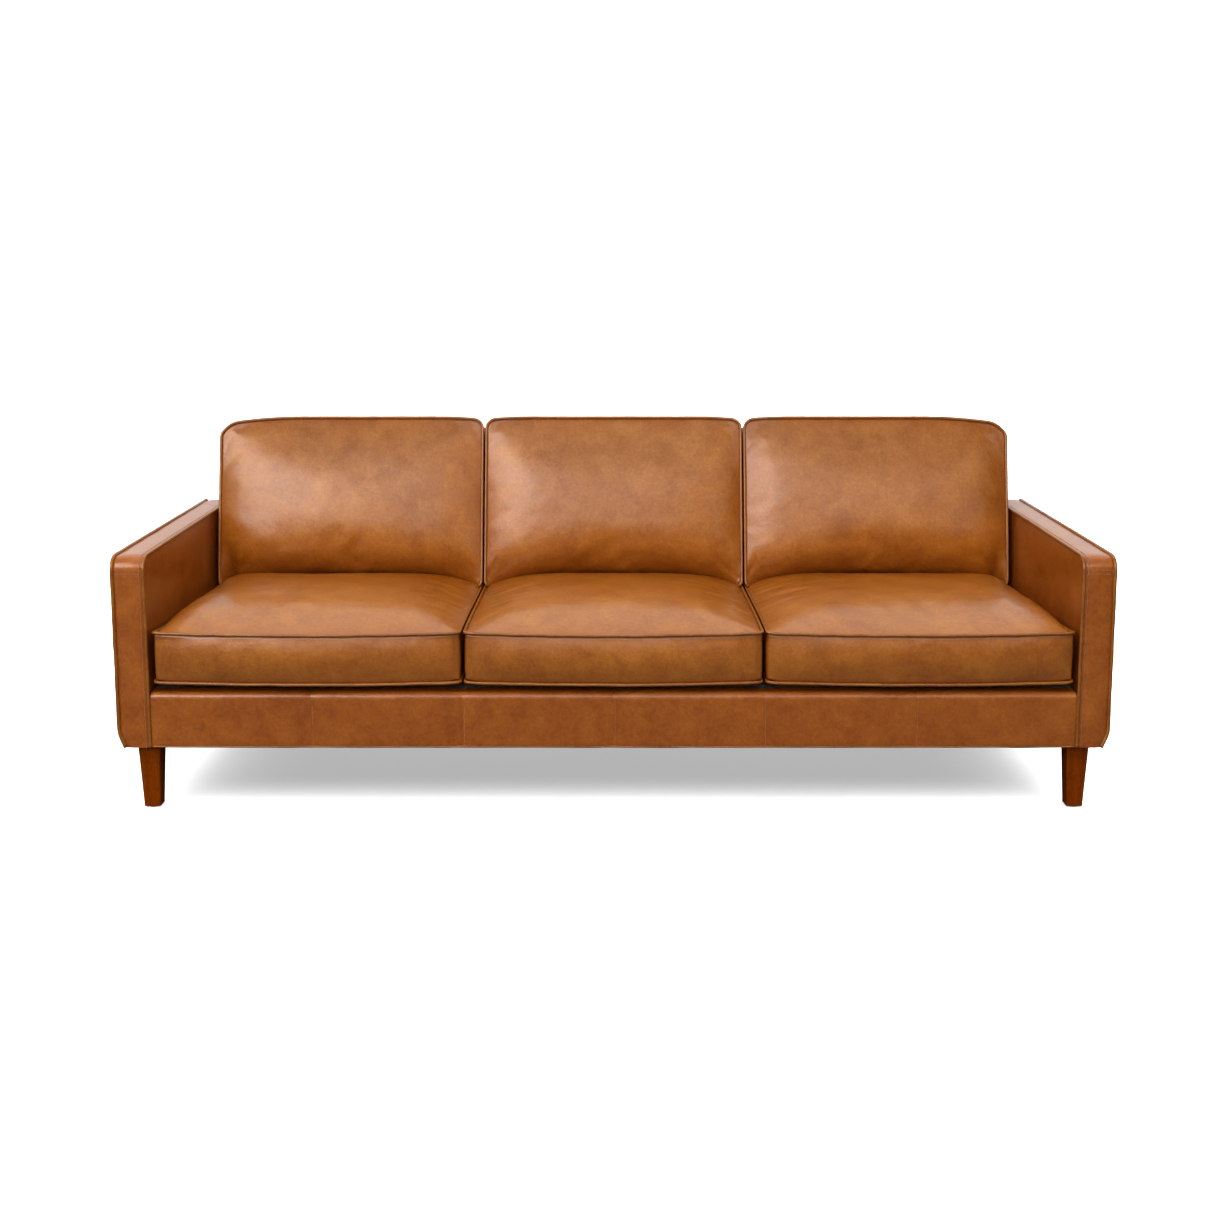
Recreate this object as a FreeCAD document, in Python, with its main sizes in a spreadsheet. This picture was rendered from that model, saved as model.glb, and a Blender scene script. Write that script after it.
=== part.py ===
"""Three-seat leather sofa: slim panel arms, loose box cushions, tapered wooden legs.

Frame: +X to the right seen from the front, +Y to the back, +Z up. The origin is the
centre of the footprint on the floor. Millimetres.
"""
import FreeCAD, Part
import math
import os
from types import SimpleNamespace

import Sketcher
from FreeCAD import Vector

# Driving dimensions, by spreadsheet alias.
DIMENSIONS = {
    # whole sofa
    "overall_width": 2250,
    "overall_depth": 860,
    "base_height": 152,
    "deck_height": 279,
    "arm_height": 595,
    "arm_width": 78,
    "back_height": 740,
    # leather, piping and padding
    "leather": 2,
    "welt_radius": 4,
    "arm_corner_radius": 31,
    "seam_gap": 0.4,
    "arm_tuck": 14,
    "arm_tuck_height": 42,
    "tuck_radius": 60,
    "rail_edge_radius": 12,
    "pad": 11,
    "front_pad": 8,
    "arm_end_pad": 4,
    "arm_inner_pad": 18,
    "back_top_pad": 13,
    "clearance": 1,
    "back_edge_radius": 10,
    # timber
    "timber": 26,
    "arm_timber": 30,
    "arm_rail_depth": 45,
    "arm_base_depth": 60,
    "timber_bottom": 155,
    "seat_rail_top": 262,
    "stretcher_bottom": 175,
    "stretcher_top": 235,
    "centre_rail_width": 40,
    "back_post_width": 60,
    "back_rail_depth": 40,
    "lower_rail_bottom": 285,
    "lower_rail_top": 330,
    "block_leg": 80,
    "block_height": 60,
    # suspension
    "spring_wire_radius": 1.9,
    "spring_width": 50,
    "spring_pitch": 170,
    "spring_bend": 18,
    "spring_lead": 20,
    "clip_width": 26,
    "clip_depth": 12,
    "clip_height": 6,
    "clip_setback": 2,
    "deck_lap": 6,
    "webbing_width": 50,
    "webbing_pitch": 160,
    # loose cushions
    "seat_half_width": 1036,
    "centre_half_width": 339,
    "cushion_gap": 4,
    "seat_bottom": 281,
    "seat_top": 425,
    "seat_front": 428,
    "seat_back": 290,
    "seat_edge_radius": 22,
    "back_front": 157,
    "back_bottom": 427,
    "back_face_height": 407,
    "back_thickness": 135,
    "back_lean": 14.5,
    "back_cushion_radius": 12,
    "core_inset": 20,
    "core_radius": 18,
    "inside_back_front": 299,
    # legs and fittings
    "leg_side": 1061,
    "leg_offset": 380,
    "support_leg_offset": 120,
    "leg_top_width": 51,
    "leg_foot_width": 37,
    "leg_edge_radius": 4,
    "glide_radius": 14,
    "glide_height": 3,
    "plate_width": 64,
    "plate_thickness": 3,
    "dust_cover": 1,
    "bolt_radius": 4,
    "bolt_clearance": 0.2,
    "bolt_bottom": 110,
    "bolt_top": 190,
}

# Counts and tolerances, which aren't lengths in the sheet.
SPRINGS_PER_SIDE = 6
SPRING_WAVES = 14
WEBBING_PER_SIDE = 6
WIRE_SIDES = 6
NEAR = 0.01
SIDES = {"left": -1, "right": 1}
ENDS = {"front": -1, "rear": 1}


class Size:
    """A length with the spreadsheet expression that it comes from."""

    def __init__(self, value, text):
        self.value = value
        self.text = text

    @staticmethod
    def of(other):
        return other if isinstance(other, Size) else Size(float(other), repr(float(other)))

    def __add__(self, other):
        other = Size.of(other)
        return Size(self.value + other.value, f"({self.text} + {other.text})")

    def __sub__(self, other):
        other = Size.of(other)
        return Size(self.value - other.value, f"({self.text} - {other.text})")

    def __mul__(self, other):
        other = Size.of(other)
        return Size(self.value * other.value, f"({self.text} * {other.text})")

    def __truediv__(self, other):
        other = Size.of(other)
        return Size(self.value / other.value, f"({self.text} / {other.text})")

    def __neg__(self):
        return self * -1


def sine(angle):
    return Size(math.sin(math.radians(angle.value)), f"sin({angle.text})")


def cosine(angle):
    return Size(math.cos(math.radians(angle.value)), f"cos({angle.text})")


def arc_tangent(slope):
    return Size(math.degrees(math.atan(slope.value)), f"atan({slope.text})")


def make_sheet():
    """Writes the driving dimensions to the spreadsheet and returns them as sizes."""
    sheet = doc.addObject("Spreadsheet::Sheet", "Dims")
    sizes = SimpleNamespace()
    for row, (alias, number) in enumerate(DIMENSIONS.items(), start=1):
        sheet.set(f"A{row}", alias)
        sheet.set(f"B{row}", str(number))
        sheet.setAlias(f"B{row}", alias)
        setattr(sizes, alias, Size(float(number), f"Dims.{alias}"))
    doc.recompute()
    return sizes


doc = FreeCAD.newDocument("Sofa")
dims = make_sheet()
subparts = {}

# Datum lines shared by several sub-parts. X is given for the right-hand side.
HALF_WIDTH = dims.overall_width / 2
HALF_DEPTH = dims.overall_depth / 2
ARM_OUTER = HALF_WIDTH - dims.welt_radius
ARM_INNER = HALF_WIDTH - dims.arm_width + dims.welt_radius
ARM_FACE = HALF_DEPTH - dims.welt_radius
ARM_TOP = dims.arm_height - dims.welt_radius
ARM_TIMBER_IN = ARM_INNER + dims.leather + dims.arm_inner_pad
ARM_TIMBER_OUT = ARM_TIMBER_IN + dims.arm_timber
TIMBER_FACE = ARM_FACE - dims.leather - dims.front_pad
TIMBER_BACK = TIMBER_FACE - dims.timber
ARM_REACH = TIMBER_FACE - dims.arm_end_pad
ARM_RAIL_TOP = ARM_TOP - dims.leather - dims.pad
BETWEEN_ARMS = ARM_INNER - dims.welt_radius
BACK_INSIDE = BETWEEN_ARMS - dims.leather
CLIP_END = TIMBER_BACK + dims.clip_setback
DECK_LAP = CLIP_END - dims.deck_lap
ARM_LINING = dims.seat_rail_top + dims.clip_height
BACK_RAIL_TOP = dims.back_height - dims.leather - dims.back_top_pad
BACK_SEAM = dims.back_height - dims.leather - dims.pad
PANEL_EDGE = ARM_FACE - dims.welt_radius


def sided(side, low, high):
    """The X span of a piece on the right, or of its twin on the left."""
    return (low, high) if side > 0 else (-high, -low)


def register(label, piece):
    """Names a finished sub-part. Its label is its node's name."""
    piece.Label = label
    subparts[label] = piece
    return piece


def board(name, x, y, z):
    """A rectangular piece from its low and high limit on each axis."""
    box = doc.addObject("Part::Box", name)
    for side, axis, (low, high) in zip(("Length", "Width", "Height"), "xyz", (x, y, z)):
        low = Size.of(low)
        box.setExpression(side, (Size.of(high) - low).text)
        box.setExpression(f"Placement.Base.{axis}", low.text)
    return box


def rod(name, radius, x, y, z_low, z_high):
    """An upright cylinder."""
    cylinder = doc.addObject("Part::Cylinder", name)
    cylinder.setExpression("Radius", radius.text)
    cylinder.setExpression("Height", (z_high - z_low).text)
    for axis, place in zip("xyz", (x, y, z_low)):
        cylinder.setExpression(f"Placement.Base.{axis}", Size.of(place).text)
    return cylinder


def draw(body, role, outline, height=None):
    """A closed sketch on one of the body's origin planes, each corner held by two dimensions."""
    sketch = body.newObject("Sketcher::SketchObject", f"{body.Name}_sketch")
    plane = next(item for item in body.Origin.OriginFeatures if item.Role == role)
    sketch.AttachmentSupport = [(plane, "")]
    sketch.MapMode = "FlatFace"
    if height is not None:
        sketch.setExpression("AttachmentOffset.Base.z", height.text)
    corners = [(Size.of(u), Size.of(v)) for u, v in outline]
    points = [Vector(u.value, v.value, 0) for u, v in corners]
    for index, point in enumerate(points):
        following = points[(index + 1) % len(points)]
        sketch.addGeometry(Part.LineSegment(point, following), False)
    for index in range(len(points)):
        sketch.addConstraint(
            Sketcher.Constraint("Coincident", index, 2, (index + 1) % len(points), 1)
        )
    for index, corner in enumerate(corners):
        for kind, place in zip(("DistanceX", "DistanceY"), corner):
            number = sketch.addConstraint(
                Sketcher.Constraint(kind, -1, 1, index, 1, place.value)
            )
            name = f"{kind}_{index}"
            sketch.renameConstraint(number, name)
            sketch.setExpression(f"Constraints.{name}", place.text)
    return sketch


def prism(name, role, outline, length, start=None):
    """An outline padded to one side along X from start, or to both sides of its plane."""
    body = doc.addObject("PartDesign::Body", name)
    pad = body.newObject("PartDesign::Pad", f"{name}_pad")
    pad.Profile = draw(body, role, outline)
    pad.SideType = "Symmetric" if start is None else "One side"
    pad.setExpression("Length", length.text)
    if start is not None:
        body.setExpression("Placement.Base.x", start.text)
    body.Tip = pad
    doc.recompute()
    return body


def round_edges(body, radius, keep):
    """Fillets the edges of a body that the keep function accepts."""
    base = body.Tip
    names = [f"Edge{i}" for i, edge in enumerate(base.Shape.Edges, start=1) if keep(edge)]
    fillet = body.newObject("PartDesign::Fillet", f"{body.Name}_fillet")
    fillet.Base = (base, names)
    fillet.setExpression("Radius", radius.text)
    body.Tip = fillet
    doc.recompute()
    return body


def lies_on(edge, axis, places):
    """Whether an edge runs along an axis and passes through one of the (u, v) places."""
    others = [i for i in range(3) if i != axis]
    ends = [vertex.Point for vertex in edge.Vertexes]
    if len(ends) != 2 or abs(ends[0][axis] - ends[1][axis]) < NEAR:
        return False
    return any(
        all(abs(end[i] - place) < NEAR for end in ends for i, place in zip(others, pair))
        for pair in places
    )


def values(*pairs):
    """Plain numbers of (u, v) sizes, for picking edges."""
    return [(Size.of(u).value, Size.of(v).value) for u, v in pairs]


def cut(name, base, tool):
    result = doc.addObject("Part::Cut", name)
    result.Base = base
    result.Tool = tool
    return result


def common(name, first, second):
    result = doc.addObject("Part::Common", name)
    result.Base = first
    result.Tool = second
    return result


def group(name, pieces):
    result = doc.addObject("Part::Compound", name)
    result.Links = pieces
    return result


def bent_wire(corners, radii):
    """Straight runs joined by tangent arcs. radii holds one radius per inner corner."""
    edges = []
    start = corners[0]
    for before, corner, after, radius in zip(corners, corners[1:], corners[2:], radii):
        back = (before - corner).normalize()
        ahead = (after - corner).normalize()
        half = back.getAngle(ahead) / 2
        reach = radius / math.tan(half)
        middle = (back + ahead).normalize() * (radius / math.sin(half) - radius)
        arc_start = corner + back * reach
        arc_end = corner + ahead * reach
        edges.append(Part.LineSegment(start, arc_start).toShape())
        edges.append(Part.Arc(arc_start, corner + middle, arc_end).toShape())
        start = arc_end
    edges.append(Part.LineSegment(start, corners[-1]).toShape())
    return Part.Wire(edges)


def tube(wire, radius, sides=None):
    """A solid swept along a wire: round, or with a flat-sided section."""
    start = wire.Edges[0].firstVertex().Point
    direction = wire.Edges[0].tangentAt(wire.Edges[0].FirstParameter)
    circle = Part.Circle(start, direction, radius)
    section = Part.Wire([circle.toShape()])
    if sides:
        turns = [2 * math.pi * number / sides for number in range(sides + 1)]
        section = Part.makePolygon([circle.value(turn) for turn in turns])
    return wire.makePipeShell([section], True, False)


# Timber frame


def base_frame():
    """Seat rails, the stretchers between them and the glued corner blocks."""
    across = (-ARM_TIMBER_IN, ARM_TIMBER_IN)
    rail = (dims.timber_bottom, dims.seat_rail_top)
    register("front_rail", board("FrontRail", across, (-TIMBER_FACE, -TIMBER_BACK), rail))
    register("rear_rail", board("RearRail", across, (TIMBER_BACK, TIMBER_FACE), rail))
    between = (-TIMBER_BACK, TIMBER_BACK)
    divider = dims.centre_half_width + dims.cushion_gap / 2
    for word, side in SIDES.items():
        middle = divider * side
        span = (middle - dims.timber / 2, middle + dims.timber / 2)
        height = (dims.stretcher_bottom, dims.stretcher_top)
        stretcher = board(f"Divider_{word}", span, between, height)
        register(f"{word}_divider_rail", stretcher)
    half = dims.centre_rail_width / 2
    solid = board("CentreBoard", (-half, half), between, (dims.timber_bottom, dims.stretcher_top))
    hole = bolt_hole("CentreRailHole", Size.of(0), dims.support_leg_offset)
    register("centre_rail", cut("CentreRail", solid, hole))
    blocks = []
    for word, side in SIDES.items():
        for end_word, end in ENDS.items():
            blocks.append(corner_block(f"{word}_{end_word}", side, end))
    register("corner_blocks", group("CornerBlocks", blocks))


def bolt_hole(name, x, y):
    radius = dims.bolt_radius + dims.bolt_clearance
    return rod(name, radius, x, y, dims.bolt_bottom, dims.bolt_top)


def corner_block(name, side, end):
    """A triangular block in one corner of the base, drilled for its leg's bolt."""
    corner_x = ARM_TIMBER_IN * side
    corner_y = TIMBER_BACK * end
    outline = [
        (corner_x, corner_y),
        (corner_x - dims.block_leg * side, corner_y),
        (corner_x, corner_y - dims.block_leg * end),
    ]
    body = doc.addObject("PartDesign::Body", f"Block_{name}")
    pad = body.newObject("PartDesign::Pad", f"Block_{name}_pad")
    pad.Profile = draw(body, "XY_Plane", outline, dims.timber_bottom)
    pad.setExpression("Length", dims.block_height.text)
    body.Tip = pad
    leg_y = dims.leg_offset * end
    hole = bolt_hole(f"Block_{name}_hole", dims.leg_side * side, leg_y)
    return cut(f"Block_{name}_drilled", body, hole)


def arm_frame(word, side):
    """Two posts between a bottom rail and a top rail, inside one arm."""
    span = sided(side, ARM_TIMBER_IN, ARM_TIMBER_OUT)
    full = (-ARM_REACH, ARM_REACH)
    base_top = dims.timber_bottom + dims.arm_base_depth
    top_rail_bottom = ARM_RAIL_TOP - dims.arm_rail_depth
    bottom = board(f"{word}BottomRail", span, full, (dims.timber_bottom, base_top))
    register(f"{word}_arm_bottom_rail", bottom)
    top = board(f"{word}TopRail", span, full, (top_rail_bottom, ARM_RAIL_TOP))
    register(f"{word}_arm_top_rail", top)
    height = (base_top, top_rail_bottom)
    front = (-ARM_REACH, dims.arm_rail_depth - ARM_REACH)
    rear = (ARM_REACH - dims.arm_rail_depth, ARM_REACH)
    register(f"{word}_arm_front_post", board(f"{word}FrontPost", span, front, height))
    register(f"{word}_arm_rear_post", board(f"{word}RearPost", span, rear, height))


def back_frame():
    """Posts standing on the rear rail, a top rail over them and a tacking rail in front."""
    plane = (TIMBER_BACK, TIMBER_FACE)
    post_top = BACK_RAIL_TOP - dims.back_rail_depth
    across = (-BACK_INSIDE, BACK_INSIDE)
    register("back_top_rail", board("BackTopRail", across, plane, (post_top, BACK_RAIL_TOP)))
    tack_plane = (TIMBER_BACK - dims.timber, TIMBER_BACK)
    tack_height = (dims.lower_rail_bottom, dims.lower_rail_top)
    register("back_lower_rail", board("BackLowerRail", across, tack_plane, tack_height))
    height = (dims.seat_rail_top, post_top)
    divider = dims.centre_half_width + dims.cushion_gap / 2
    half = dims.back_post_width / 2
    inner_posts = []
    for word, side in SIDES.items():
        outer = sided(side, BACK_INSIDE - dims.back_post_width, BACK_INSIDE)
        register(f"{word}_back_post", board(f"{word}BackPost", outer, plane, height))
        span = (divider * side - half, divider * side + half)
        inner_posts.append(board(f"{word}InnerPost", span, plane, height))
    register("centre_back_posts", group("CentreBackPosts", inner_posts))


# Suspension


def seat_springs():
    """Sinuous wire springs from the front rail to the rear rail, with a clip at each end."""
    pitch = dims.spring_pitch.value
    end = CLIP_END.value
    width = dims.spring_width.value / 2
    level = dims.seat_rail_top.value + dims.clip_height.value / 2
    lead = dims.spring_lead.value
    step = 2 * (end - lead) / SPRING_WAVES
    wires = []
    clips = []
    for number in range(-SPRINGS_PER_SIDE, SPRINGS_PER_SIDE):
        middle = (number + 0.5) * pitch
        corners = [Vector(middle, -end, level), Vector(middle, lead - end, level)]
        for wave in range(SPRING_WAVES):
            x = middle + (width if wave % 2 else -width)
            y = lead - end + wave * step
            corners.append(Vector(x, y, level))
            corners.append(Vector(x, y + step, level))
        corners.append(Vector(middle, end - lead, level))
        corners.append(Vector(middle, end, level))
        radii = [dims.spring_bend.value] * (len(corners) - 2)
        path = bent_wire(corners, radii)
        wires.append(tube(path, dims.spring_wire_radius.value, WIRE_SIDES))
        for word, side in ENDS.items():
            clips.append(spring_clip(f"Clip_{word}_{number + SPRINGS_PER_SIDE}", middle, side))
    springs = doc.addObject("Part::Feature", "SeatSprings")
    springs.Shape = Part.Compound(wires)
    register("seat_springs", springs)
    register("spring_clips", group("SpringClips", clips))


def spring_clip(name, middle, side):
    half = dims.clip_width / 2
    span = (half * -1 + middle, half + middle)
    reach = (CLIP_END, CLIP_END + dims.clip_depth)
    depth = reach if side > 0 else (-reach[1], -reach[0])
    top = dims.seat_rail_top + dims.clip_height
    return board(name, span, depth, (dims.seat_rail_top, top))


def back_webbing():
    """Elastic strips from the tacking rail up to the back's top rail."""
    low_y = TIMBER_BACK - dims.timber
    high_y = TIMBER_BACK
    top = BACK_RAIL_TOP
    bend = top - dims.back_rail_depth
    thick = dims.leather
    outline = [
        (low_y, dims.lower_rail_bottom),
        (low_y, dims.lower_rail_top),
        (high_y, bend),
        (high_y, top),
        (high_y - thick, top),
        (high_y - thick, bend),
        (low_y - thick, dims.lower_rail_top),
        (low_y - thick, dims.lower_rail_bottom),
    ]
    strips = []
    for number in range(-WEBBING_PER_SIDE, WEBBING_PER_SIDE + 1):
        start = dims.webbing_pitch * number - dims.webbing_width / 2
        name = f"Webbing_{number + WEBBING_PER_SIDE}"
        strips.append(prism(name, "YZ_Plane", outline, dims.webbing_width, start))
    register("back_webbing", group("BackWebbing", strips))


def seat_deck():
    """Felt pad over the springs, the deck cloth on it and the dust cover underneath."""
    across = (-BETWEEN_ARMS, BETWEEN_ARMS)
    pad_bottom = ARM_LINING
    pad_top = dims.deck_height - dims.leather
    rear = TIMBER_BACK - dims.clearance
    front = -(CLIP_END + dims.clip_depth)
    register("seat_deck_pad", board("DeckPad", across, (front, rear), (pad_bottom, pad_top)))
    cloth = board("DeckCloth", across, (-DECK_LAP, rear), (pad_top, dims.deck_height))
    register("seat_deck_cloth", cloth)
    dust_reach = ARM_OUTER - dims.arm_tuck - dims.leather - dims.clearance
    sheet = board(
        "DustSheet",
        (-dust_reach, dust_reach),
        (-PANEL_EDGE, PANEL_EDGE),
        (dims.base_height, dims.base_height + dims.dust_cover),
    )
    half = dims.plate_width / 2 + dims.clearance
    windows = []
    for name, (x, y) in leg_places().items():
        height = (dims.base_height - dims.clearance, dims.timber_bottom)
        windows.append(board(f"Window_{name}", (x - half, x + half), (y - half, y + half), height))
    register("dust_cover", cut("DustCover", sheet, group("DustWindows", windows)))


# Padding and leather of the fixed frame


def arm_outline(inset):
    """Side view of an arm, inset from the piping's centre line."""
    reach = ARM_FACE - inset
    return [
        (-reach, dims.base_height),
        (reach, dims.base_height),
        (reach, ARM_TOP - inset),
        (-reach, ARM_TOP - inset),
    ]


def arm_slab(name, side, low, high, inset, radius):
    """Part of the arm's thickness with the arm's rounded side view."""
    x_low, x_high = sided(side, low, high)
    outline = arm_outline(inset)
    body = prism(name, "YZ_Plane", outline, x_high - x_low, x_low)
    corners = values(outline[2], outline[3])
    return round_edges(body, radius, lambda edge: lies_on(edge, 0, corners))


def arm_section(name, side, low, high):
    """Front view of an arm between two X limits. The outer face turns in at the bottom."""
    top = dims.arm_height
    knee = dims.base_height + dims.arm_tuck_height
    outline = [
        (low * side, dims.base_height),
        ((high - dims.arm_tuck) * side, dims.base_height),
        (high * side, knee),
        (high * side, top),
        (low * side, top),
    ]
    body = prism(name, "XZ_Plane", outline, dims.overall_depth)
    corners = values(outline[2])
    return round_edges(body, dims.tuck_radius, lambda edge: lies_on(edge, 1, corners))


def arm_covers(word, side):
    """The outer panel, the inner panel and the border strip between them."""
    edge = dims.welt_radius
    panel_radius = dims.arm_corner_radius - edge
    slab = arm_slab(
        f"{word}OuterSlab", side, ARM_OUTER - dims.arm_tuck * 2, ARM_OUTER, edge, panel_radius
    )
    outside = arm_section(f"{word}OuterFace", side, ARM_INNER, ARM_OUTER)
    inside = arm_section(f"{word}OuterBacking", side, ARM_INNER, ARM_OUTER - dims.leather)
    solid = common(f"{word}OuterCommon", slab, outside)
    register(f"{word}_arm_outer_panel", cut(f"{word}OuterPanel", solid, inside))

    full = arm_slab(
        f"{word}InnerSlab", side, ARM_INNER, ARM_INNER + dims.leather, edge, panel_radius
    )
    below = board(
        f"{word}InnerBelow",
        sided(side, ARM_INNER - dims.clearance, ARM_INNER + dims.leather * 2),
        (-HALF_DEPTH, HALF_DEPTH),
        (0, ARM_LINING),
    )
    register(f"{word}_arm_inner_panel", cut(f"{word}InnerPanel", full, below))

    low = ARM_INNER + edge
    high = ARM_OUTER - edge - dims.seam_gap
    radius = dims.arm_corner_radius
    outer = arm_slab(f"{word}BorderOuter", side, low, high, Size.of(0), radius)
    inner = arm_slab(
        f"{word}BorderInner", side, low, high, dims.leather, radius - dims.leather
    )
    strip = cut(f"{word}BorderStrip", outer, inner)
    limit = arm_section(f"{word}BorderLimit", side, low, high)
    register(f"{word}_arm_border", common(f"{word}Border", strip, limit))


def arm_pad(word, side):
    """Foam and felt round the arm's timber, open underneath and at the deck."""
    inset = dims.leather + dims.clearance
    low = ARM_INNER + inset
    high = ARM_OUTER - inset
    radius = dims.arm_corner_radius - inset
    slab = arm_slab(f"{word}PadSlab", side, low, high, inset, radius)
    limit = arm_section(f"{word}PadLimit", side, low, high)
    solid = common(f"{word}PadSolid", slab, limit)
    everywhere = (-HALF_DEPTH, HALF_DEPTH)
    cavity = board(
        f"{word}PadCavity",
        sided(side, ARM_TIMBER_IN, ARM_TIMBER_OUT),
        (-ARM_REACH, ARM_REACH),
        (0, ARM_RAIL_TOP),
    )
    notch = board(
        f"{word}PadNotch",
        sided(side, ARM_INNER, ARM_TIMBER_IN),
        everywhere,
        (0, ARM_LINING),
    )
    base = board(
        f"{word}PadBase", sided(side, ARM_INNER, HALF_WIDTH), everywhere, (0, dims.timber_bottom)
    )
    tools = group(f"{word}PadTools", [cavity, notch, base])
    register(f"{word}_arm_pad", cut(f"{word}Pad", solid, tools))


def arm_piping(word, side):
    """Round piping along the outer and inner edges of the arm's border."""
    face = ARM_FACE.value
    top = ARM_TOP.value
    floor = dims.base_height.value
    corner = dims.arm_corner_radius.value
    knee = floor + dims.arm_tuck_height.value
    tuck_radius = dims.tuck_radius.value
    outer = ARM_OUTER.value * side
    foot = (ARM_OUTER - dims.arm_tuck).value * side
    inner = ARM_INNER.value * side
    outer_path = [
        Vector(foot, -face, floor),
        Vector(outer, -face, knee),
        Vector(outer, -face, top),
        Vector(outer, face, top),
        Vector(outer, face, knee),
        Vector(foot, face, floor),
    ]
    inner_path = [
        Vector(inner, -face, floor),
        Vector(inner, -face, top),
        Vector(inner, face, top),
        Vector(inner, face, floor),
    ]
    radius = dims.welt_radius.value
    outer_wire = bent_wire(outer_path, [tuck_radius, corner, corner, tuck_radius])
    inner_wire = bent_wire(inner_path, [corner, corner])
    piping = doc.addObject("Part::Feature", f"{word}Piping")
    piping.Shape = Part.Compound([tube(outer_wire, radius), tube(inner_wire, radius)])
    register(f"{word}_arm_piping", piping)


def rail_outline(inset, back, floor):
    """Section of the front rail's upholstery, inset from its outer face."""
    top = dims.deck_height - inset
    face = -(ARM_FACE - inset)
    return [(face, floor), (face, top), (back, top), (back, floor)]


def front_rail_upholstery():
    """The leather wrapped over the front rail and the padding under it."""
    across = BETWEEN_ARMS * 2

    def block(name, inset, back, floor):
        outline = rail_outline(inset, back, floor)
        body = prism(name, "YZ_Plane", outline, across, -BETWEEN_ARMS)
        front_top = values(outline[1])
        radius = dims.rail_edge_radius - inset
        return round_edges(body, radius, lambda edge: lies_on(edge, 0, front_top))

    past = dims.clearance
    outer = block("RailCoverOuter", Size.of(0), -DECK_LAP, dims.base_height)
    inner = block("RailCoverInner", dims.leather, past - DECK_LAP, dims.base_height - past)
    register("front_rail_cover", cut("RailCover", outer, inner))
    clip_front = -(CLIP_END + dims.clip_depth)
    pad = block("RailPadBlock", dims.leather, clip_front, dims.timber_bottom)
    timber = board(
        "RailPadTimber",
        (-HALF_WIDTH, HALF_WIDTH),
        (-TIMBER_FACE, Size.of(0)),
        (Size.of(0), dims.seat_rail_top),
    )
    register("front_rail_pad", cut("RailPad", pad, timber))


def inside_back_y(height):
    """The inside back's face follows the lean of the loose back cushions."""
    rise = (height - dims.back_bottom) * sine(dims.back_lean) / cosine(dims.back_lean)
    return dims.inside_back_front + rise


def back_upholstery():
    """Inside back cover wrapped over the top, its padding and the flat outside panel."""
    leather = dims.leather
    top = dims.back_height
    across = BETWEEN_ARMS * 2
    start = -BETWEEN_ARMS

    outer_outline = [
        (dims.inside_back_front, dims.seat_bottom),
        (dims.inside_back_front, dims.back_bottom),
        (inside_back_y(top), top),
        (ARM_FACE, top),
        (ARM_FACE, BACK_SEAM),
        (ARM_FACE - leather * 2, BACK_SEAM),
        (ARM_FACE - leather * 2, dims.seat_bottom),
    ]
    hollow_face = dims.inside_back_front + leather
    inner_outline = [
        (hollow_face, dims.seat_bottom - dims.clearance),
        (hollow_face, dims.back_bottom),
        (inside_back_y(top - leather) + leather, top - leather),
        (ARM_FACE - leather, top - leather),
        (ARM_FACE - leather, dims.seat_bottom - dims.clearance),
    ]
    outer = prism("BackCoverOuter", "YZ_Plane", outer_outline, across, start)
    ridge = values(outer_outline[2], outer_outline[3])
    round_edges(outer, dims.back_edge_radius, lambda edge: lies_on(edge, 0, ridge))
    within = BACK_INSIDE * 2
    inner = prism("BackCoverInner", "YZ_Plane", inner_outline, within, -BACK_INSIDE)
    ridge_in = values(inner_outline[2], inner_outline[3])
    round_edges(
        inner, dims.back_edge_radius - leather, lambda edge: lies_on(edge, 0, ridge_in)
    )
    register("inside_back_cover", cut("BackCover", outer, inner))

    web_low = TIMBER_BACK - dims.timber - leather
    web_high = TIMBER_BACK - leather
    pad_outline = [
        (hollow_face, dims.seat_bottom + leather),
        (hollow_face, dims.back_bottom),
        (inside_back_y(top - leather) + leather, top - leather),
        (ARM_FACE - leather, top - leather),
        (ARM_FACE - leather, BACK_RAIL_TOP),
        (web_high, BACK_RAIL_TOP),
        (web_high, BACK_RAIL_TOP - dims.back_rail_depth),
        (web_low, dims.lower_rail_top),
        (web_low, dims.seat_bottom + leather),
    ]
    pad = prism("BackPad", "YZ_Plane", pad_outline, within, -BACK_INSIDE)
    ridge_pad = values(pad_outline[2], pad_outline[3])
    round_edges(
        pad, dims.back_edge_radius - leather, lambda edge: lies_on(edge, 0, ridge_pad)
    )
    register("back_pad", pad)

    outside = board(
        "OutsideBack",
        (-BETWEEN_ARMS, BETWEEN_ARMS),
        (ARM_FACE - leather, ARM_FACE),
        (dims.base_height, BACK_SEAM),
    )
    register("outside_back_panel", outside)


# Loose cushions


def cushion_spans():
    """X limits of the three cushions in a row."""
    inner = dims.centre_half_width + dims.cushion_gap
    return {
        "left": (-dims.seat_half_width, -inner),
        "centre": (-dims.centre_half_width, dims.centre_half_width),
        "right": (inner, dims.seat_half_width),
    }


def seat_outline(inset):
    """Side view of a seat cushion."""
    front = inset - dims.seat_front
    back = dims.seat_back - inset
    low = dims.seat_bottom + inset
    high = dims.seat_top - inset
    return [(front, low), (back, low), (back, high), (front, high)]


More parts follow.
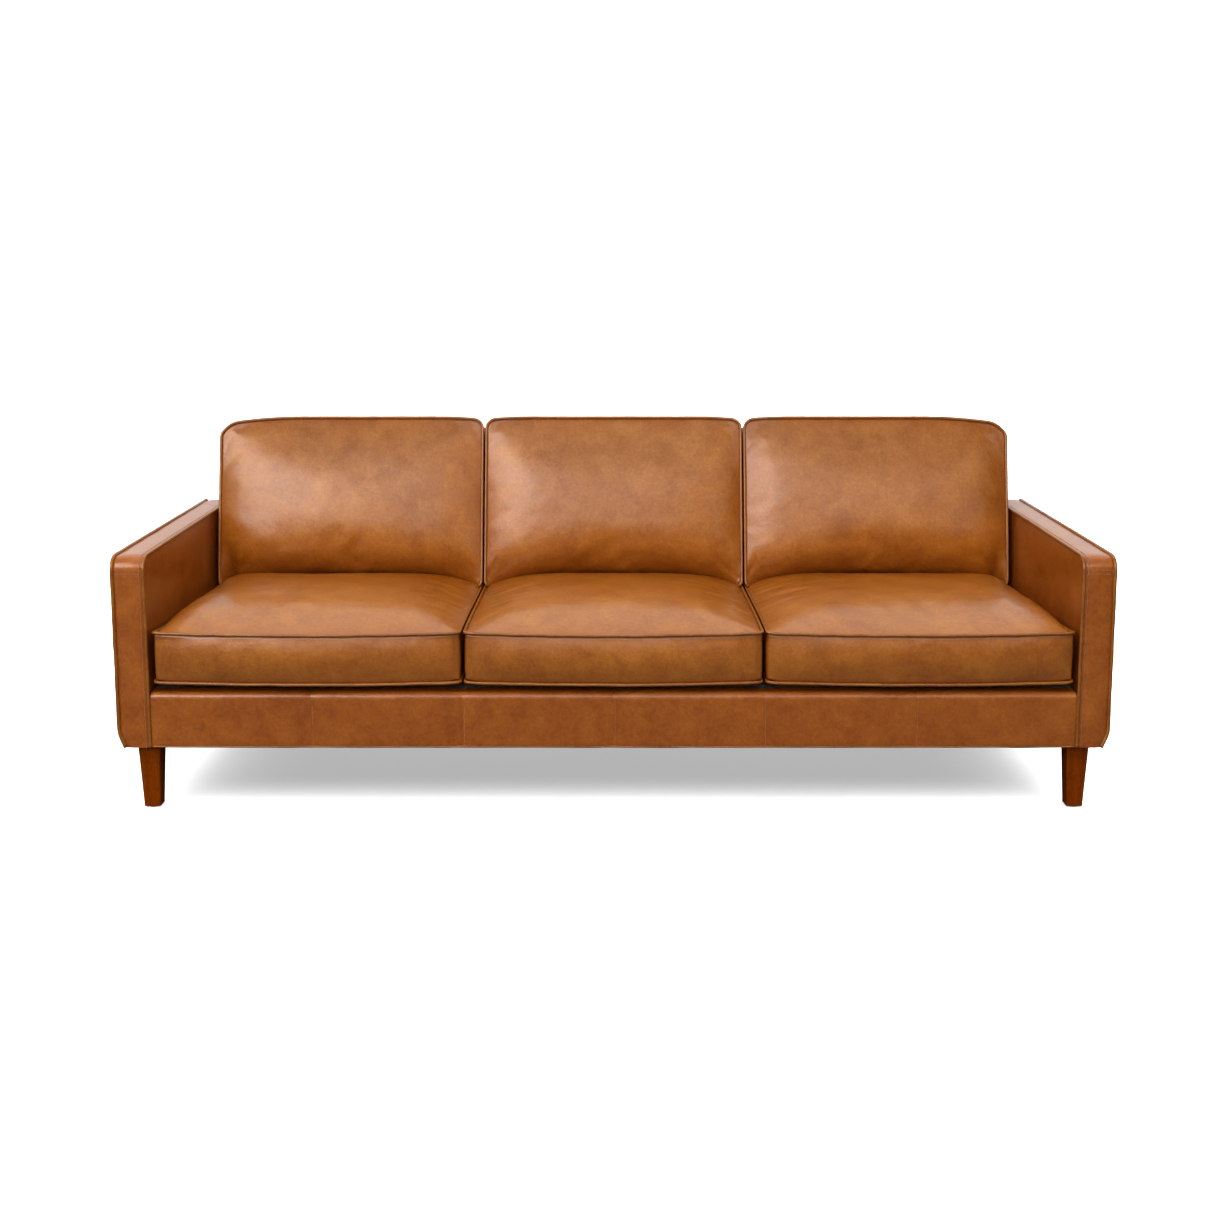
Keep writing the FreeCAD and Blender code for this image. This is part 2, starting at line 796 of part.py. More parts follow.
def back_outline(inset):
    """Side view of a back cushion: it leans back, and its bottom is level on the seat."""
    sin, cos = sine(dims.back_lean), cosine(dims.back_lean)
    depth = dims.back_thickness - inset
    height = dims.back_face_height - inset
    low = dims.back_bottom + inset
    low_shift = inset * sin / cos

    def upper(across):
        return (
            dims.back_front + height * sin + across * cos,
            dims.back_bottom + height * cos - across * sin,
        )

    def lower(across):
        return (dims.back_front + low_shift + across / cos, low)

    return [lower(inset), lower(depth), upper(depth), upper(inset)]


def cushion(kind, word, span, outline, radius):
    """A hollow leather cover with a foam core in it."""

    def block(name, inset, edge_radius):
        low, high = span[0] + inset, span[1] - inset
        body = prism(name, "YZ_Plane", outline(Size.of(inset)), high - low, low)
        return round_edges(body, edge_radius, lambda edge: True)

    name = f"{kind}_{word}"
    shell = block(f"{name}_outer", Size.of(0), radius)
    hollow = block(f"{name}_hollow", dims.leather, radius - dims.leather)
    register(f"{kind}_cushion_{word}_cover", cut(f"{name}_cover", shell, hollow))
    core = block(f"{name}_core", dims.core_inset, dims.core_radius)
    register(f"{kind}_cushion_{word}_core", core)


def cushions():
    for word, span in cushion_spans().items():
        cushion("seat", word, span, seat_outline, dims.seat_edge_radius)
        cushion("back", word, span, back_outline, dims.back_cushion_radius)


# Legs


def leg_places():
    """Centres of the five legs on the floor."""
    places = {}
    for end_word, end in ENDS.items():
        for word, side in SIDES.items():
            places[f"{end_word}_{word}_leg"] = (dims.leg_side * side, dims.leg_offset * end)
    places["centre_support_leg"] = (Size.of(0), dims.support_leg_offset)
    return places


def square(width):
    half = width / 2
    return [(-half, -half), (half, -half), (half, half), (-half, half)]


def leg(name, x, y):
    """A square leg that tapers to its foot, drilled from the top for its bolt."""
    body = doc.addObject("PartDesign::Body", f"{name}_body")
    height = dims.base_height - dims.glide_height
    taper = arc_tangent((dims.leg_top_width - dims.leg_foot_width) / 2 / height)
    pad = body.newObject("PartDesign::Pad", f"{name}_pad")
    pad.Profile = draw(body, "XY_Plane", square(dims.leg_foot_width), dims.glide_height)
    pad.setExpression("Length", height.text)
    pad.setExpression("TaperAngle", taper.text)
    body.Tip = pad
    doc.recompute()
    tall = height.value / 2
    round_edges(body, dims.leg_edge_radius, lambda edge: edge.Length > tall)
    body.setExpression("Placement.Base.x", x.text)
    body.setExpression("Placement.Base.y", y.text)
    return cut(f"{name}_drilled", body, bolt_hole(f"{name}_hole", x, y))


def legs():
    """The legs, and under and over each one its glide, plate and bolt."""
    glides, plates, bolts = [], [], []
    half = dims.plate_width / 2
    for name, (x, y) in leg_places().items():
        register(name, leg(name, x, y))
        glides.append(
            rod(f"{name}_glide", dims.glide_radius, x, y, Size.of(0), dims.glide_height)
        )
        plate = board(
            f"{name}_plate_blank",
            (x - half, x + half),
            (y - half, y + half),
            (dims.base_height, dims.base_height + dims.plate_thickness),
        )
        plates.append(cut(f"{name}_plate", plate, bolt_hole(f"{name}_plate_hole", x, y)))
        bolts.append(
            rod(f"{name}_bolt", dims.bolt_radius, x, y, dims.bolt_bottom, dims.bolt_top)
        )
    register("leg_glides", group("LegGlides", glides))
    register("leg_plates", group("LegPlates", plates))
    register("leg_bolts", group("LegBolts", bolts))


def check_and_write():
    """Stops on any failed object or invalid shape, then writes one STEP file per sub-part."""
    doc.recompute()
    for item in doc.Objects:
        if "Invalid" in item.State or "Error" in item.State:
            raise RuntimeError(f"{item.Name} failed: {item.State}")
    for label, piece in subparts.items():
        if piece.Shape.isNull() or not piece.Shape.isValid() or not piece.Shape.Solids:
            raise RuntimeError(f"{label} has no valid solid")
    os.makedirs("parts", exist_ok=True)
    for label, piece in subparts.items():
        piece.Shape.exportStep(f"parts/{label}.step")
    print(f"{len(subparts)} sub-parts written")


base_frame()
for arm_word, arm_side in SIDES.items():
    arm_frame(arm_word, arm_side)
    arm_covers(arm_word, arm_side)
    arm_pad(arm_word, arm_side)
    arm_piping(arm_word, arm_side)
back_frame()
seat_springs()
back_webbing()
seat_deck()
front_rail_upholstery()
back_upholstery()
cushions()
legs()
check_and_write()
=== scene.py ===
import math

import bpy
import numpy as np
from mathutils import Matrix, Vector, noise


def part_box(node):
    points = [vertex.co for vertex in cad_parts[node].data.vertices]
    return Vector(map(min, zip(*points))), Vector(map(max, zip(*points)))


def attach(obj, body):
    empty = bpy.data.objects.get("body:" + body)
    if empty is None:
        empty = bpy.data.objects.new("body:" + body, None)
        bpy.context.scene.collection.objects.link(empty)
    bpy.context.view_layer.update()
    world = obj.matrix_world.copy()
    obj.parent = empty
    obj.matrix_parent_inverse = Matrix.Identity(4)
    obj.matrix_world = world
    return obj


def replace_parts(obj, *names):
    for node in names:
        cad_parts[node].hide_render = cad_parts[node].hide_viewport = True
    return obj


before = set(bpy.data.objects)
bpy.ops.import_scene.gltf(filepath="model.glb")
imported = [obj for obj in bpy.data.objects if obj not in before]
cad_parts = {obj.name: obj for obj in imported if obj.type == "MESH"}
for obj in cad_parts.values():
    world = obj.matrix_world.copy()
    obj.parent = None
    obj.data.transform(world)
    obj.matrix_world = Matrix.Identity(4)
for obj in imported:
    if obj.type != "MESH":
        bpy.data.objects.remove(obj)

# A three-seat leather sofa. Every length is in metres, in the CAD frame: X across, Y to the back, Z up.

MM = 0.001
SIDES = {"left": -1, "right": 1}
WORDS = ("left", "centre", "right")
UP = np.array([0.0, 0.0, 1.0])
ALONG_X = np.array([1.0, 0.0, 0.0])

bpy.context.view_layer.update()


def box(node):
    """The lowest and highest corner of a CAD node, as two arrays."""
    low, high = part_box(node)
    return np.array(low), np.array(high)


# ---------------------------------------------------------------- materials


class Nodes:
    """A node tree, wired up one call at a time."""

    def __init__(self, tree):
        self.tree = tree

    def feed(self, socket, value):
        """A link, a colour or a number into one socket."""
        if isinstance(value, bpy.types.NodeSocket):
            self.tree.links.new(value, socket)
        elif isinstance(value, tuple) and socket.type == "RGBA":
            socket.default_value = (*value, 1.0)
        else:
            socket.default_value = value

    def node(self, kind, inputs=(), **settings):
        """A new node with its settings and inputs."""
        made = self.tree.nodes.new(kind)
        for key, value in settings.items():
            setattr(made, key, value)
        for key, value in dict(inputs).items():
            self.feed(made.inputs[key], value)
        return made


class Shader(Nodes):
    """A surface material for pieces; its textures are placed by each piece's own coordinates."""

    def __init__(self, name, roughness=0.5, metallic=0.0, specular=0.5, **settings):
        self.material = bpy.data.materials.new(name)
        self.material.use_nodes = True
        super().__init__(self.material.node_tree)
        self.surface = self.tree.nodes["Principled BSDF"]
        self.set("Roughness", roughness)
        self.set("Metallic", metallic)
        self.set("Specular IOR Level", specular)
        for socket, value in settings.items():
            self.set(socket.replace("_", " ").title(), value)
        self.place = self.tree.nodes.new("ShaderNodeTexCoord").outputs["Object"]

    def set(self, name, value):
        """A value for one of the surface's own sockets."""
        self.feed(self.surface.inputs[name], value)

    def stretched(self, stretch):
        """The place on the piece, scaled along each axis."""
        inputs = {0: self.place, 1: stretch}
        return self.node("ShaderNodeVectorMath", inputs, operation="MULTIPLY").outputs[0]

    def noise(self, scale, detail=3.0, rough=0.5, distortion=0.0, at=None):
        inputs = {"Vector": at or self.place, "Scale": scale, "Detail": detail}
        inputs.update({"Roughness": rough, "Distortion": distortion})
        return self.node("ShaderNodeTexNoise", inputs).outputs["Fac"]

    def cells(self, scale, feature="F1", at=None):
        inputs = {"Vector": at or self.place, "Scale": scale}
        return self.node("ShaderNodeTexVoronoi", inputs, feature=feature).outputs["Distance"]

    def wave(self, scale, distortion=0.0, direction="X", at=None):
        inputs = {"Vector": at or self.place, "Scale": scale, "Distortion": distortion}
        return self.node("ShaderNodeTexWave", inputs, bands_direction=direction).outputs["Fac"]

    def maths(self, operation, first, second=0.0, third=0.0):
        return self.node("ShaderNodeMath", {0: first, 1: second, 2: third}, operation=operation).outputs[0]

    def spread(self, value, low, high, to_low=0.0, to_high=1.0):
        """Maps low..high to to_low..to_high, and holds the ends."""
        inputs = {"Value": value, 1: low, 2: high, 3: to_low, 4: to_high}
        return self.node("ShaderNodeMapRange", inputs).outputs[0]

    def mix(self, factor, first, second, blend="MIX"):
        inputs = {0: factor, 6: first, 7: second}
        return self.node("ShaderNodeMix", inputs, data_type="RGBA", blend_type=blend).outputs[2]

    def tint(self, colour, second, where, amount):
        """The colour, with up to the given amount of a second one where a texture is high."""
        return self.mix(self.maths("MULTIPLY", where, amount), colour, second)

    def ramp(self, value, stops):
        made = self.node("ShaderNodeValToRGB", {0: value})
        elements = made.color_ramp.elements
        while len(elements) < len(stops):
            elements.new(0.5)
        for element, (position, colour) in zip(elements, stops):
            element.position = position
            element.color = (*colour, 1.0)
        return made.outputs[0]

    def bump(self, *layers):
        """Each layer is a height from 0 to 1 and what 1 stands for in metres."""
        normal = None
        for height, distance in layers:
            inputs = {"Height": height, "Distance": distance, "Strength": 1.0}
            if normal is not None:
                inputs["Normal"] = normal
            normal = self.node("ShaderNodeBump", inputs).outputs[0]
        self.set("Normal", normal)

    def attribute(self, name):
        return self.node("ShaderNodeAttribute", attribute_name=name).outputs["Fac"]


def scaled(colour, factor):
    """The colour, lighter or darker by a factor."""
    return tuple(part * factor for part in colour)


LEATHER_DYES = (
    (0.38, (0.325, 0.102, 0.0070)),
    (0.46, (0.380, 0.128, 0.0095)),
    (0.54, (0.420, 0.150, 0.0125)),
    (0.62, (0.465, 0.182, 0.0190)),
)
# painted shade: the dye that the leather darkens towards along its seams
SEAM_SHADE_DYE = (0.26, 0.060, 0.005)
# painted shade: the tint that makes the dye darker and redder on faces that get less light
SIDE_SHADE_TINT = (0.97, 0.81, 0.70)
HIDE_STEP = (7.3, 3.1, 5.7)


def leather(name, tone=1.0):
    """Cognac aniline leather: clouded dye, fine pebble grain and a waxy shine.

    The pieces' attributes steer it: hide moves the clouds so that no two panels match; a face attribute
    paints shade on the faces that get less light, making the dye darker and redder; and a point attribute
    paints shade along the seams, darkening the dye there.
    """
    shader = Shader(name, specular=1.0, coat_weight=0.6, coat_roughness=0.22)
    shift = {0: shader.attribute("hide"), 1: HIDE_STEP}
    shift = shader.node("ShaderNodeVectorMath", shift, operation="MULTIPLY").outputs[0]
    at = shader.node("ShaderNodeVectorMath", {0: shader.place, 1: shift}).outputs[0]
    broad = shader.noise(5.5, 3.0, 0.55, 0.6, at)
    cloud = shader.noise(21.0, 5.0, 0.62, 0.4, at)
    mottle = shader.noise(120.0, 4.0, 0.65, 0.5, at)
    fleck = shader.noise(330.0, 3.0, 0.6, 0.0, at)
    blend = shader.maths("MULTIPLY_ADD", broad, 0.32, shader.maths("MULTIPLY", cloud, 0.44))
    blend = shader.maths("MULTIPLY_ADD", mottle, 0.42, blend)
    blend = shader.maths("MULTIPLY_ADD", fleck, 0.16, shader.maths("SUBTRACT", blend, 0.17))
    dye = shader.ramp(blend, [(place, scaled(colour, tone)) for place, colour in LEATHER_DYES])
    # painted shade: darker, redder dye on faces that get less light
    dye = shader.mix(shader.attribute("dark_tone_and_side_shade"), dye, shader.mix(1.0, dye, SIDE_SHADE_TINT, "MULTIPLY"))
    # painted shade: the dye darkens along the seams
    dye = shader.tint(dye, scaled(SEAM_SHADE_DYE, tone), shader.attribute("seam_shade"), 0.50)
    pebble = shader.cells(760.0, at=at)
    crease = shader.spread(shader.cells(150.0, "DISTANCE_TO_EDGE", at), 0.0, 0.16)
    pull = shader.noise(62.0, 4.0, 0.6, 0.3, at)
    pores = shader.spread(pebble, 0.0, 0.7, 1.06, 0.90)
    pores = shader.node("ShaderNodeCombineColor", {0: pores, 1: pores, 2: pores}).outputs[0]
    shader.set("Base Color", shader.mix(1.0, dye, pores, "MULTIPLY"))
    shader.set("Roughness", shader.spread(cloud, 0.3, 0.72, 0.30, 0.38))
    shader.bump((pull, 0.00075), (crease, 0.00007), (shader.maths("SUBTRACT", 1.0, pebble), 0.00009))
    return shader.material


def stained_wood(name, dark, light):
    """Wood with its grain along Z: broad figure, fine streaks and pores."""
    shader = Shader(name, specular=0.06, coat_weight=0.02, coat_roughness=0.3)
    at = shader.stretched((1.0, 1.0, 0.06))
    figure = shader.noise(38.0, 4.0, 0.6, 1.4, at)
    streak = shader.noise(420.0, 3.0, 0.65, 0.2, at)
    pore = shader.spread(shader.noise(1300.0, 2.0, 0.5, 0.0, at), 0.56, 0.66)
    value = shader.maths("MULTIPLY_ADD", figure, 0.65, shader.maths("MULTIPLY", streak, 0.35))
    middle = tuple((low + high) / 2 for low, high in zip(dark, light))
    colour = shader.ramp(value, [(0.32, dark), (0.5, middle), (0.68, light)])
    colour = shader.tint(colour, scaled(dark, 0.4), pore, 0.55)
    shader.set("Base Color", colour)
    shader.set("Roughness", shader.spread(streak, 0.3, 0.7, 0.52, 0.40))
    shader.bump((streak, 0.00012), (pore, -0.00008))
    return shader.material


def sawn_timber(name):
    """Pale planed softwood with growth rings."""
    shader = Shader(name, roughness=0.7)
    at = shader.stretched((0.25, 1.0, 1.0))
    rings = shader.wave(38.0, 9.0, "Z", at)
    fibre = shader.noise(260.0, 3.0, 0.6, 0.1, at)
    stops = [(0.0, (0.52, 0.34, 0.18)), (0.75, (0.60, 0.43, 0.25)), (1.0, (0.38, 0.21, 0.10))]
    colour = shader.ramp(rings, stops)
    colour = shader.tint(colour, (0.42, 0.27, 0.14), fibre, 0.35)
    shader.set("Base Color", colour)
    shader.bump((fibre, 0.00015))
    return shader.material


def foam(name, pale, dark_tone_and_side_shade, scale):
    """Open-cell foam or fluffy wadding."""
    shader = Shader(name, roughness=0.95, specular=0.2)
    cell = shader.cells(scale)
    cloud = shader.noise(18.0, 3.0)
    colour = shader.mix(shader.spread(cell, 0.1, 0.7), dark_tone_and_side_shade, pale)
    colour = shader.tint(colour, dark_tone_and_side_shade, cloud, 0.25)
    shader.set("Base Color", colour)
    shader.bump((cell, 0.0006))
    return shader.material


def woven(name, dark, light, pitch, stripe=None):
    """A plain weave of threads at the given pitch, in the plane it lies in."""
    shader = Shader(name, roughness=0.85, specular=0.25, sheen_weight=0.25, sheen_roughness=0.4)
    bands = 0.5 / pitch
    warp = shader.wave(bands, direction="X")
    weft = shader.wave(bands, direction="Y")
    upright = shader.wave(bands, direction="Z")
    weave = shader.maths("MULTIPLY", warp, shader.maths("MAXIMUM", weft, upright))
    fuzz = shader.noise(900.0, 2.0)
    cloud = shader.noise(9.0, 4.0)
    value = shader.maths("MULTIPLY_ADD", fuzz, 0.35, shader.maths("MULTIPLY", weave, 0.65))
    colour = shader.mix(shader.spread(value, 0.1, 0.75), dark, light)
    colour = shader.tint(colour, dark, cloud, 0.4)
    if stripe:
        colour = shader.mix(shader.spread(shader.wave(22.0), 0.82, 0.9), colour, stripe)
    shader.set("Base Color", colour)
    shader.bump((weave, pitch * 0.3), (fuzz, 0.0001))
    return shader.material


def hard(name, main, second, blotches, texture, roughness, metallic=0.0):
    """Plated steel or moulded plastic: blotched in colour and shine, over a fine texture."""
    shader = Shader(name, metallic=metallic)
    blotch = shader.noise(*blotches)
    shader.set("Base Color", shader.mix(shader.spread(blotch, 0.35, 0.7), main, second))
    shader.set("Roughness", shader.spread(blotch, 0.3, 0.7, *roughness))
    scale, depth = texture
    shader.bump((shader.noise(scale, 2.0), depth))
    return shader.material


def thread(name, dark, light):
    """Waxed sewing thread: plies twisted along its length."""
    shader = Shader(name, roughness=0.6, sheen_weight=0.3)
    ply = shader.noise(2200.0, 2.0, 0.6)
    shade = shader.noise(70.0, 2.0)
    colour = shader.mix(shader.spread(ply, 0.35, 0.65), dark, light)
    shader.set("Base Color", shader.tint(colour, dark, shade, 0.3))
    shader.bump((ply, 0.0001))
    return shader.material


LEATHER = leather("cognac_leather")
PIPING_LEATHER = leather("cognac_piping", 0.86)
FOAM = foam("cushion_foam", (0.74, 0.66, 0.44), (0.52, 0.43, 0.24), 900.0)
TIMBER = sawn_timber("frame_timber")
DECK_CLOTH = woven("tan_deck_cloth", (0.15, 0.075, 0.030), (0.28, 0.16, 0.075), 0.0014)
THREAD = thread("tan_thread", (0.33, 0.15, 0.05), (0.56, 0.30, 0.12))

WEBBING_COLOURS = (0.30, 0.22, 0.13), (0.52, 0.42, 0.28)
WEBBING_STRIPE = (0.10, 0.03, 0.02)
SPRING_COLOURS = (0.26, 0.26, 0.27), (0.10, 0.10, 0.11)
ZINC_COLOURS = (0.62, 0.62, 0.63), (0.33, 0.33, 0.34)
GLIDE_COLOURS = (0.020, 0.011, 0.007), (0.055, 0.034, 0.024)
# the blotches' scale, detail and roughness, and the fine texture's scale and depth
TARNISH = (60.0, 5.0, 0.65)
SCUFFS = (140.0, 5.0, 0.7)
DRAWN = (900.0, 0.00003)
MOULDED = (1500.0, 0.00004)

SLOT_MATERIALS = {
    "leather": LEATHER,
    "piping": PIPING_LEATHER,
    "foam": FOAM,
    "frame_timber": TIMBER,
    "leg_wood": stained_wood("stained_leg_wood", (0.175, 0.032, 0.0006), (0.335, 0.076, 0.0020)),
    "padding": foam("white_wadding", (0.80, 0.79, 0.76), (0.60, 0.59, 0.56), 420.0),
    "lining_cloth": woven("black_lining", (0.010, 0.010, 0.011), (0.045, 0.045, 0.047), 0.0012),
    "webbing": woven("elastic_webbing", *WEBBING_COLOURS, 0.0022, WEBBING_STRIPE),
    "spring_steel": hard("spring_steel", *SPRING_COLOURS, TARNISH, DRAWN, (0.28, 0.46), 1.0),
    "fittings_steel": hard("zinc_fittings", *ZINC_COLOURS, TARNISH, DRAWN, (0.27, 0.45), 1.0),
    "glide_plastic": hard("brown_glides", *GLIDE_COLOURS, SCUFFS, MOULDED, (0.37, 0.57)),
}


# ---------------------------------------------------------------- mesh tools


def grid_faces(rows, columns, start=0, flip=False):
    """Quads over a grid of points whose columns run fastest."""
    faces = []
    for row in range(rows - 1):
        for column in range(columns - 1):
            here = start + row * columns + column
            quad = (here, here + columns, here + columns + 1, here + 1)
            faces.append(quad[::-1] if flip else quad)
    return faces


def ring_faces(rings, sides, closed=False):
    """Quads between rings of points, with a cap on each end unless the last ring meets the first."""
    faces = []
    for ring in range(rings if closed else rings - 1):
        here = ring * sides
        there = (ring + 1) % rings * sides
        for side in range(sides):
            beside = (side + 1) % sides
            faces.append((here + side, here + beside, there + beside, there + side))
    if not closed:
        faces.append(tuple(range(sides))[::-1])
        faces.append(tuple((rings - 1) * sides + side for side in range(sides)))
    return faces


def new_object(name, data):
    made = bpy.data.objects.new(name, data)
    bpy.context.scene.collection.objects.link(made)
    return made


def make(name, points, faces, material, body, hide=0.0, seam_shade=0.0, dark_tone_and_side_shade=0.0):
    """A piece from points and faces, which rides on a body; the last three are read by its leather."""
    mesh = bpy.data.meshes.new(name)
    mesh.from_pydata(np.asarray(points).tolist(), [], faces)
    mesh.polygons.foreach_set("use_smooth", [True] * len(mesh.polygons))
    sizes = {"FACE": len(faces), "POINT": len(points)}
    # after hide come two masks of painted shade: one on faces that get less light, one along the seams
    for kind, domain, values in (("hide", "FACE", hide), ("dark_tone_and_side_shade", "FACE", dark_tone_and_side_shade), ("seam_shade", "POINT", seam_shade)):
        attribute = mesh.attributes.new(kind, "FLOAT", domain)
        attribute.data.foreach_set("value", np.array(np.broadcast_to(values, sizes[domain]), np.float32))
    mesh.materials.append(material)
    piece = new_object(name, mesh)
    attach(piece, body)
    return piece


class Parts:
    """Points and faces gathered from several shapes, to make one piece."""

    def __init__(self):
        self.points = []
        self.faces = []
        self.hides = []
        self.count = 0

    def add(self, points, faces, hide=0.0):
        self.points.append(np.asarray(points, float).reshape(-1, 3))
        self.faces += [tuple(index + self.count for index in face) for face in faces]
        self.hides += [hide] * len(faces)
        self.count += len(self.points[-1])

    def make(self, name, material, body, slot=None, dark_tone_and_side_shade=0.0):
        points = np.concatenate(self.points)
        return make(name, points, self.faces, material, body, self.hides, dark_tone_and_side_shade=dark_tone_and_side_shade)


def vertex_values(mesh, kind="co"):
    """The places or the normals of a mesh's vertices, as rows."""
    values = np.zeros(len(mesh.vertices) * 3, np.float32)
    mesh.vertices.foreach_get(kind, values)
    return values.reshape(-1, 3).astype(float)


def set_places(piece, points):
    piece.data.vertices.foreach_set("co", np.asarray(points, np.float32).ravel())
    piece.data.update()


def subdivide(piece):
    """Applies one level of subdivision surface to the piece."""
    piece.modifiers.new("Subdivision", "SUBSURF").levels = 1
    graph = bpy.context.evaluated_depsgraph_get()
    mesh = bpy.data.meshes.new_from_object(piece.evaluated_get(graph))
    piece.modifiers.clear()
    piece.data = mesh


def ripple(points, size, amount, seed=0.0):
    """Smooth noise at each point, in metres, for the small unevenness of stuffed leather."""
    shift = Vector((seed * 3.7, seed * 1.3, seed * 2.1))
    return amount * np.array([noise.noise(Vector(point) / size + shift) for point in points])


def unit(value):
    """The value, held between 0 and 1."""
    return np.clip(value, 0, 1)


def smooth_step(value):
    held = unit(value)
    return held * held * (3 - 2 * held)


def plate(value, power):
    """A crown across a panel: 1 in the middle, 0 at both edges, flatter for a higher power."""
    return 1 - np.abs(value) ** power


def edge_dense(count, gather=0.45):
    """Places from -1 to 1, closer together near both ends."""
    even = np.linspace(-1, 1, count + 1)
    return even * (1 - gather) + gather * np.sin(even * math.pi / 2)


def tangents(path, closed=False):
    ahead = np.roll(path, -1, 0)
    behind = np.roll(path, 1, 0)
    if not closed:
        ahead[-1] = path[-1]
        behind[0] = path[0]
    along = ahead - behind
    return along / np.linalg.norm(along, axis=1)[:, None]


def resample(path, pitch, closed=False):
    """Evenly spaced points along a path, with the whole number of steps nearest the pitch."""
    line = np.concatenate([path, path[:1]]) if closed else path
    lengths = np.concatenate([[0.0], np.cumsum(np.linalg.norm(np.diff(line, axis=0), axis=1))])
    count = max(2, round(lengths[-1] / pitch))
    places = np.linspace(0, lengths[-1], count + 1)
    if closed:
        places = places[:-1]
    return np.stack([np.interp(places, lengths, line[:, axis]) for axis in range(3)], 1)


def tube(path, radius, normal, closed=False, sides=10):
    """Points and faces of a round tube along a path; normal is any direction its bends lie across."""
    along = tangents(path, closed)
    across = np.cross(along, normal)
    across /= np.linalg.norm(across, axis=1)[:, None]
    second = np.cross(along, across)
    radii = np.broadcast_to(radius, len(path))[:, None]
    turns = np.linspace(0, 2 * math.pi, sides, endpoint=False)
    lines = [path + (across * math.cos(turn) + second * math.sin(turn)) * radii for turn in turns]
    return np.stack(lines, 1).reshape(-1, 3), ring_faces(len(path), sides, closed)


STITCH_SIDES = 6
STITCH_PITCH = 6.0 * MM
STITCH_LENGTH = 4.2 * MM
# along the stitch, above the leather and how thick, in lengths and radii of the stitch
STITCH_BOW = ((-0.5, -0.9, 0.55), (-0.34, 0.35, 1.0), (0.0, 0.7, 1.0), (0.34, 0.35, 1.0), (0.5, -0.9, 0.55))


def stitches(parts, path, lift, radius=0.55 * MM):
    """A row of sewn stitches: short bowed threads that dip into the leather at both ends."""
    spots = resample(path, STITCH_PITCH)
    along = tangents(spots)
    lift = np.broadcast_to(lift, spots.shape)
    faces = ring_faces(len(STITCH_BOW), STITCH_SIDES)
    for spot, ahead, up, side in zip(spots, along, lift, np.cross(along, lift)):
        points = []
        for step, height, width in STITCH_BOW:
            centre = spot + ahead * step * STITCH_LENGTH + up * height * radius
            for turn in range(STITCH_SIDES):
                angle = 2 * math.pi * turn / STITCH_SIDES
                points.append(centre + (side * math.cos(angle) + up * math.sin(angle)) * radius * width)
        parts.add(points, faces)


# ---------------------------------------------------------------- cushions

PIPING = 3.6 * MM
WELT_OFFSET = 3.0 * MM
SEAM_WAVE = 0.9 * MM
ARM_ROOM = 7 * MM
FOAM_INSET = 14 * MM
LEAN = math.radians(14.5)
# how much painted shade, as darker and redder dye, the lower panel gets beyond the top's; the boxing gets
# twice as much
SIDE_SHADE_STEP = 0.15


def round_corners(a, b, half_a, half_b, radii):
    """Moves the corners of a rectangle's grid onto quarter circles."""
    a, b = a.copy(), b.copy()
    for (side, end), radius in radii.items():
        u = (a * side - half_a + radius) / radius
        v = (b * end - half_b + radius) / radius
        corner = (u > 0) & (v > 0)
        u, v = u[corner], v[corner]
        a[corner] = side * (half_a - radius + radius * u * np.sqrt(1 - v * v / 2))
        b[corner] = end * (half_b - radius + radius * v * np.sqrt(1 - u * u / 2))
    return a, b


def seam_shading(s, t, sharpness):
    """How much painted shade each place of a panel gets along its seams: 1 on its seams, and soon nothing
    further in.
    """
    return np.exp(-sharpness * (1 - np.maximum(np.abs(s), np.abs(t)))).reshape(-1)


def rim(count_a, count_b):
    """Grid places round the edge, anticlockwise."""
    return (
        [(i, 0) for i in range(count_a)]
        + [(count_a, j) for j in range(count_b)]
        + [(i, count_b) for i in range(count_a, 0, -1)]
        + [(0, j) for j in range(count_b, 0, -1)]
    )


class Shell:
    """A box cushion's leather: two panels and the boxing strip between them, in its own a, b, c axes.

    A shape gives half_a, half_b, radii, counts and four functions of the panel places s and t:
    plan moves the outline, top and bottom are the panels' heights, and bow is how far the boxing bulges.
    """

    def __init__(self, shape):
        count_a, count_b, count_c = shape.counts
        s, t = np.meshgrid(edge_dense(count_a), edge_dense(count_b), indexing="ij")
        a, b = round_corners(s * shape.half_a, t * shape.half_b, shape.half_a, shape.half_b, shape.radii)
        a, b = shape.plan(s, t, a, b)
        edge = rim(count_a, count_b)
        rows, columns = zip(*edge)
        top = np.stack([a, b, shape.top(s, t)], -1)
        bottom = np.stack([a, b, shape.bottom(s, t)], -1)
        upper, lower = top[rows, columns], bottom[rows, columns]
        self.outward = np.cross(tangents(upper * (1, 1, 0), closed=True), UP)
        bow = shape.bow(s[rows, columns], t[rows, columns])[:, None]
        levels = []
        for level in range(1, count_c):
            share = level / count_c
            swell = math.sin(math.pi * share) ** 0.8
            levels.append(upper * (1 - share) + lower * share + self.outward * bow * swell)
        self.points = np.concatenate([top.reshape(-1, 3), bottom.reshape(-1, 3), *levels])
        panel = (count_a + 1) * (count_b + 1)
        around = len(edge)
        index = [i * (count_b + 1) + j for i, j in edge]
        self.seams = [index, [panel + k for k in index]]
        starts = range(2 * panel, len(self.points), around)
        self.boxing_loops = [list(range(start, start + around)) for start in starts]
        self.faces = grid_faces(count_a + 1, count_b + 1)
        flat = len(self.faces)
        self.faces += grid_faces(count_a + 1, count_b + 1, panel, flip=True)
        loops = [self.seams[0], *self.boxing_loops, self.seams[1]]
        for above, below in zip(loops, loops[1:]):
            for k in range(around):
                beside = (k + 1) % around
                self.faces.append((above[k], below[k], below[beside], above[beside]))
        self.hides = np.repeat([0.0, 1.0, 2.0], [flat, flat, len(self.faces) - 2 * flat])
        # painted shade along the seams of both panels; none on the boxing
        near = seam_shading(s, t, 22)
        self.seam_shade = np.concatenate([near, near, np.zeros(len(levels) * around)])


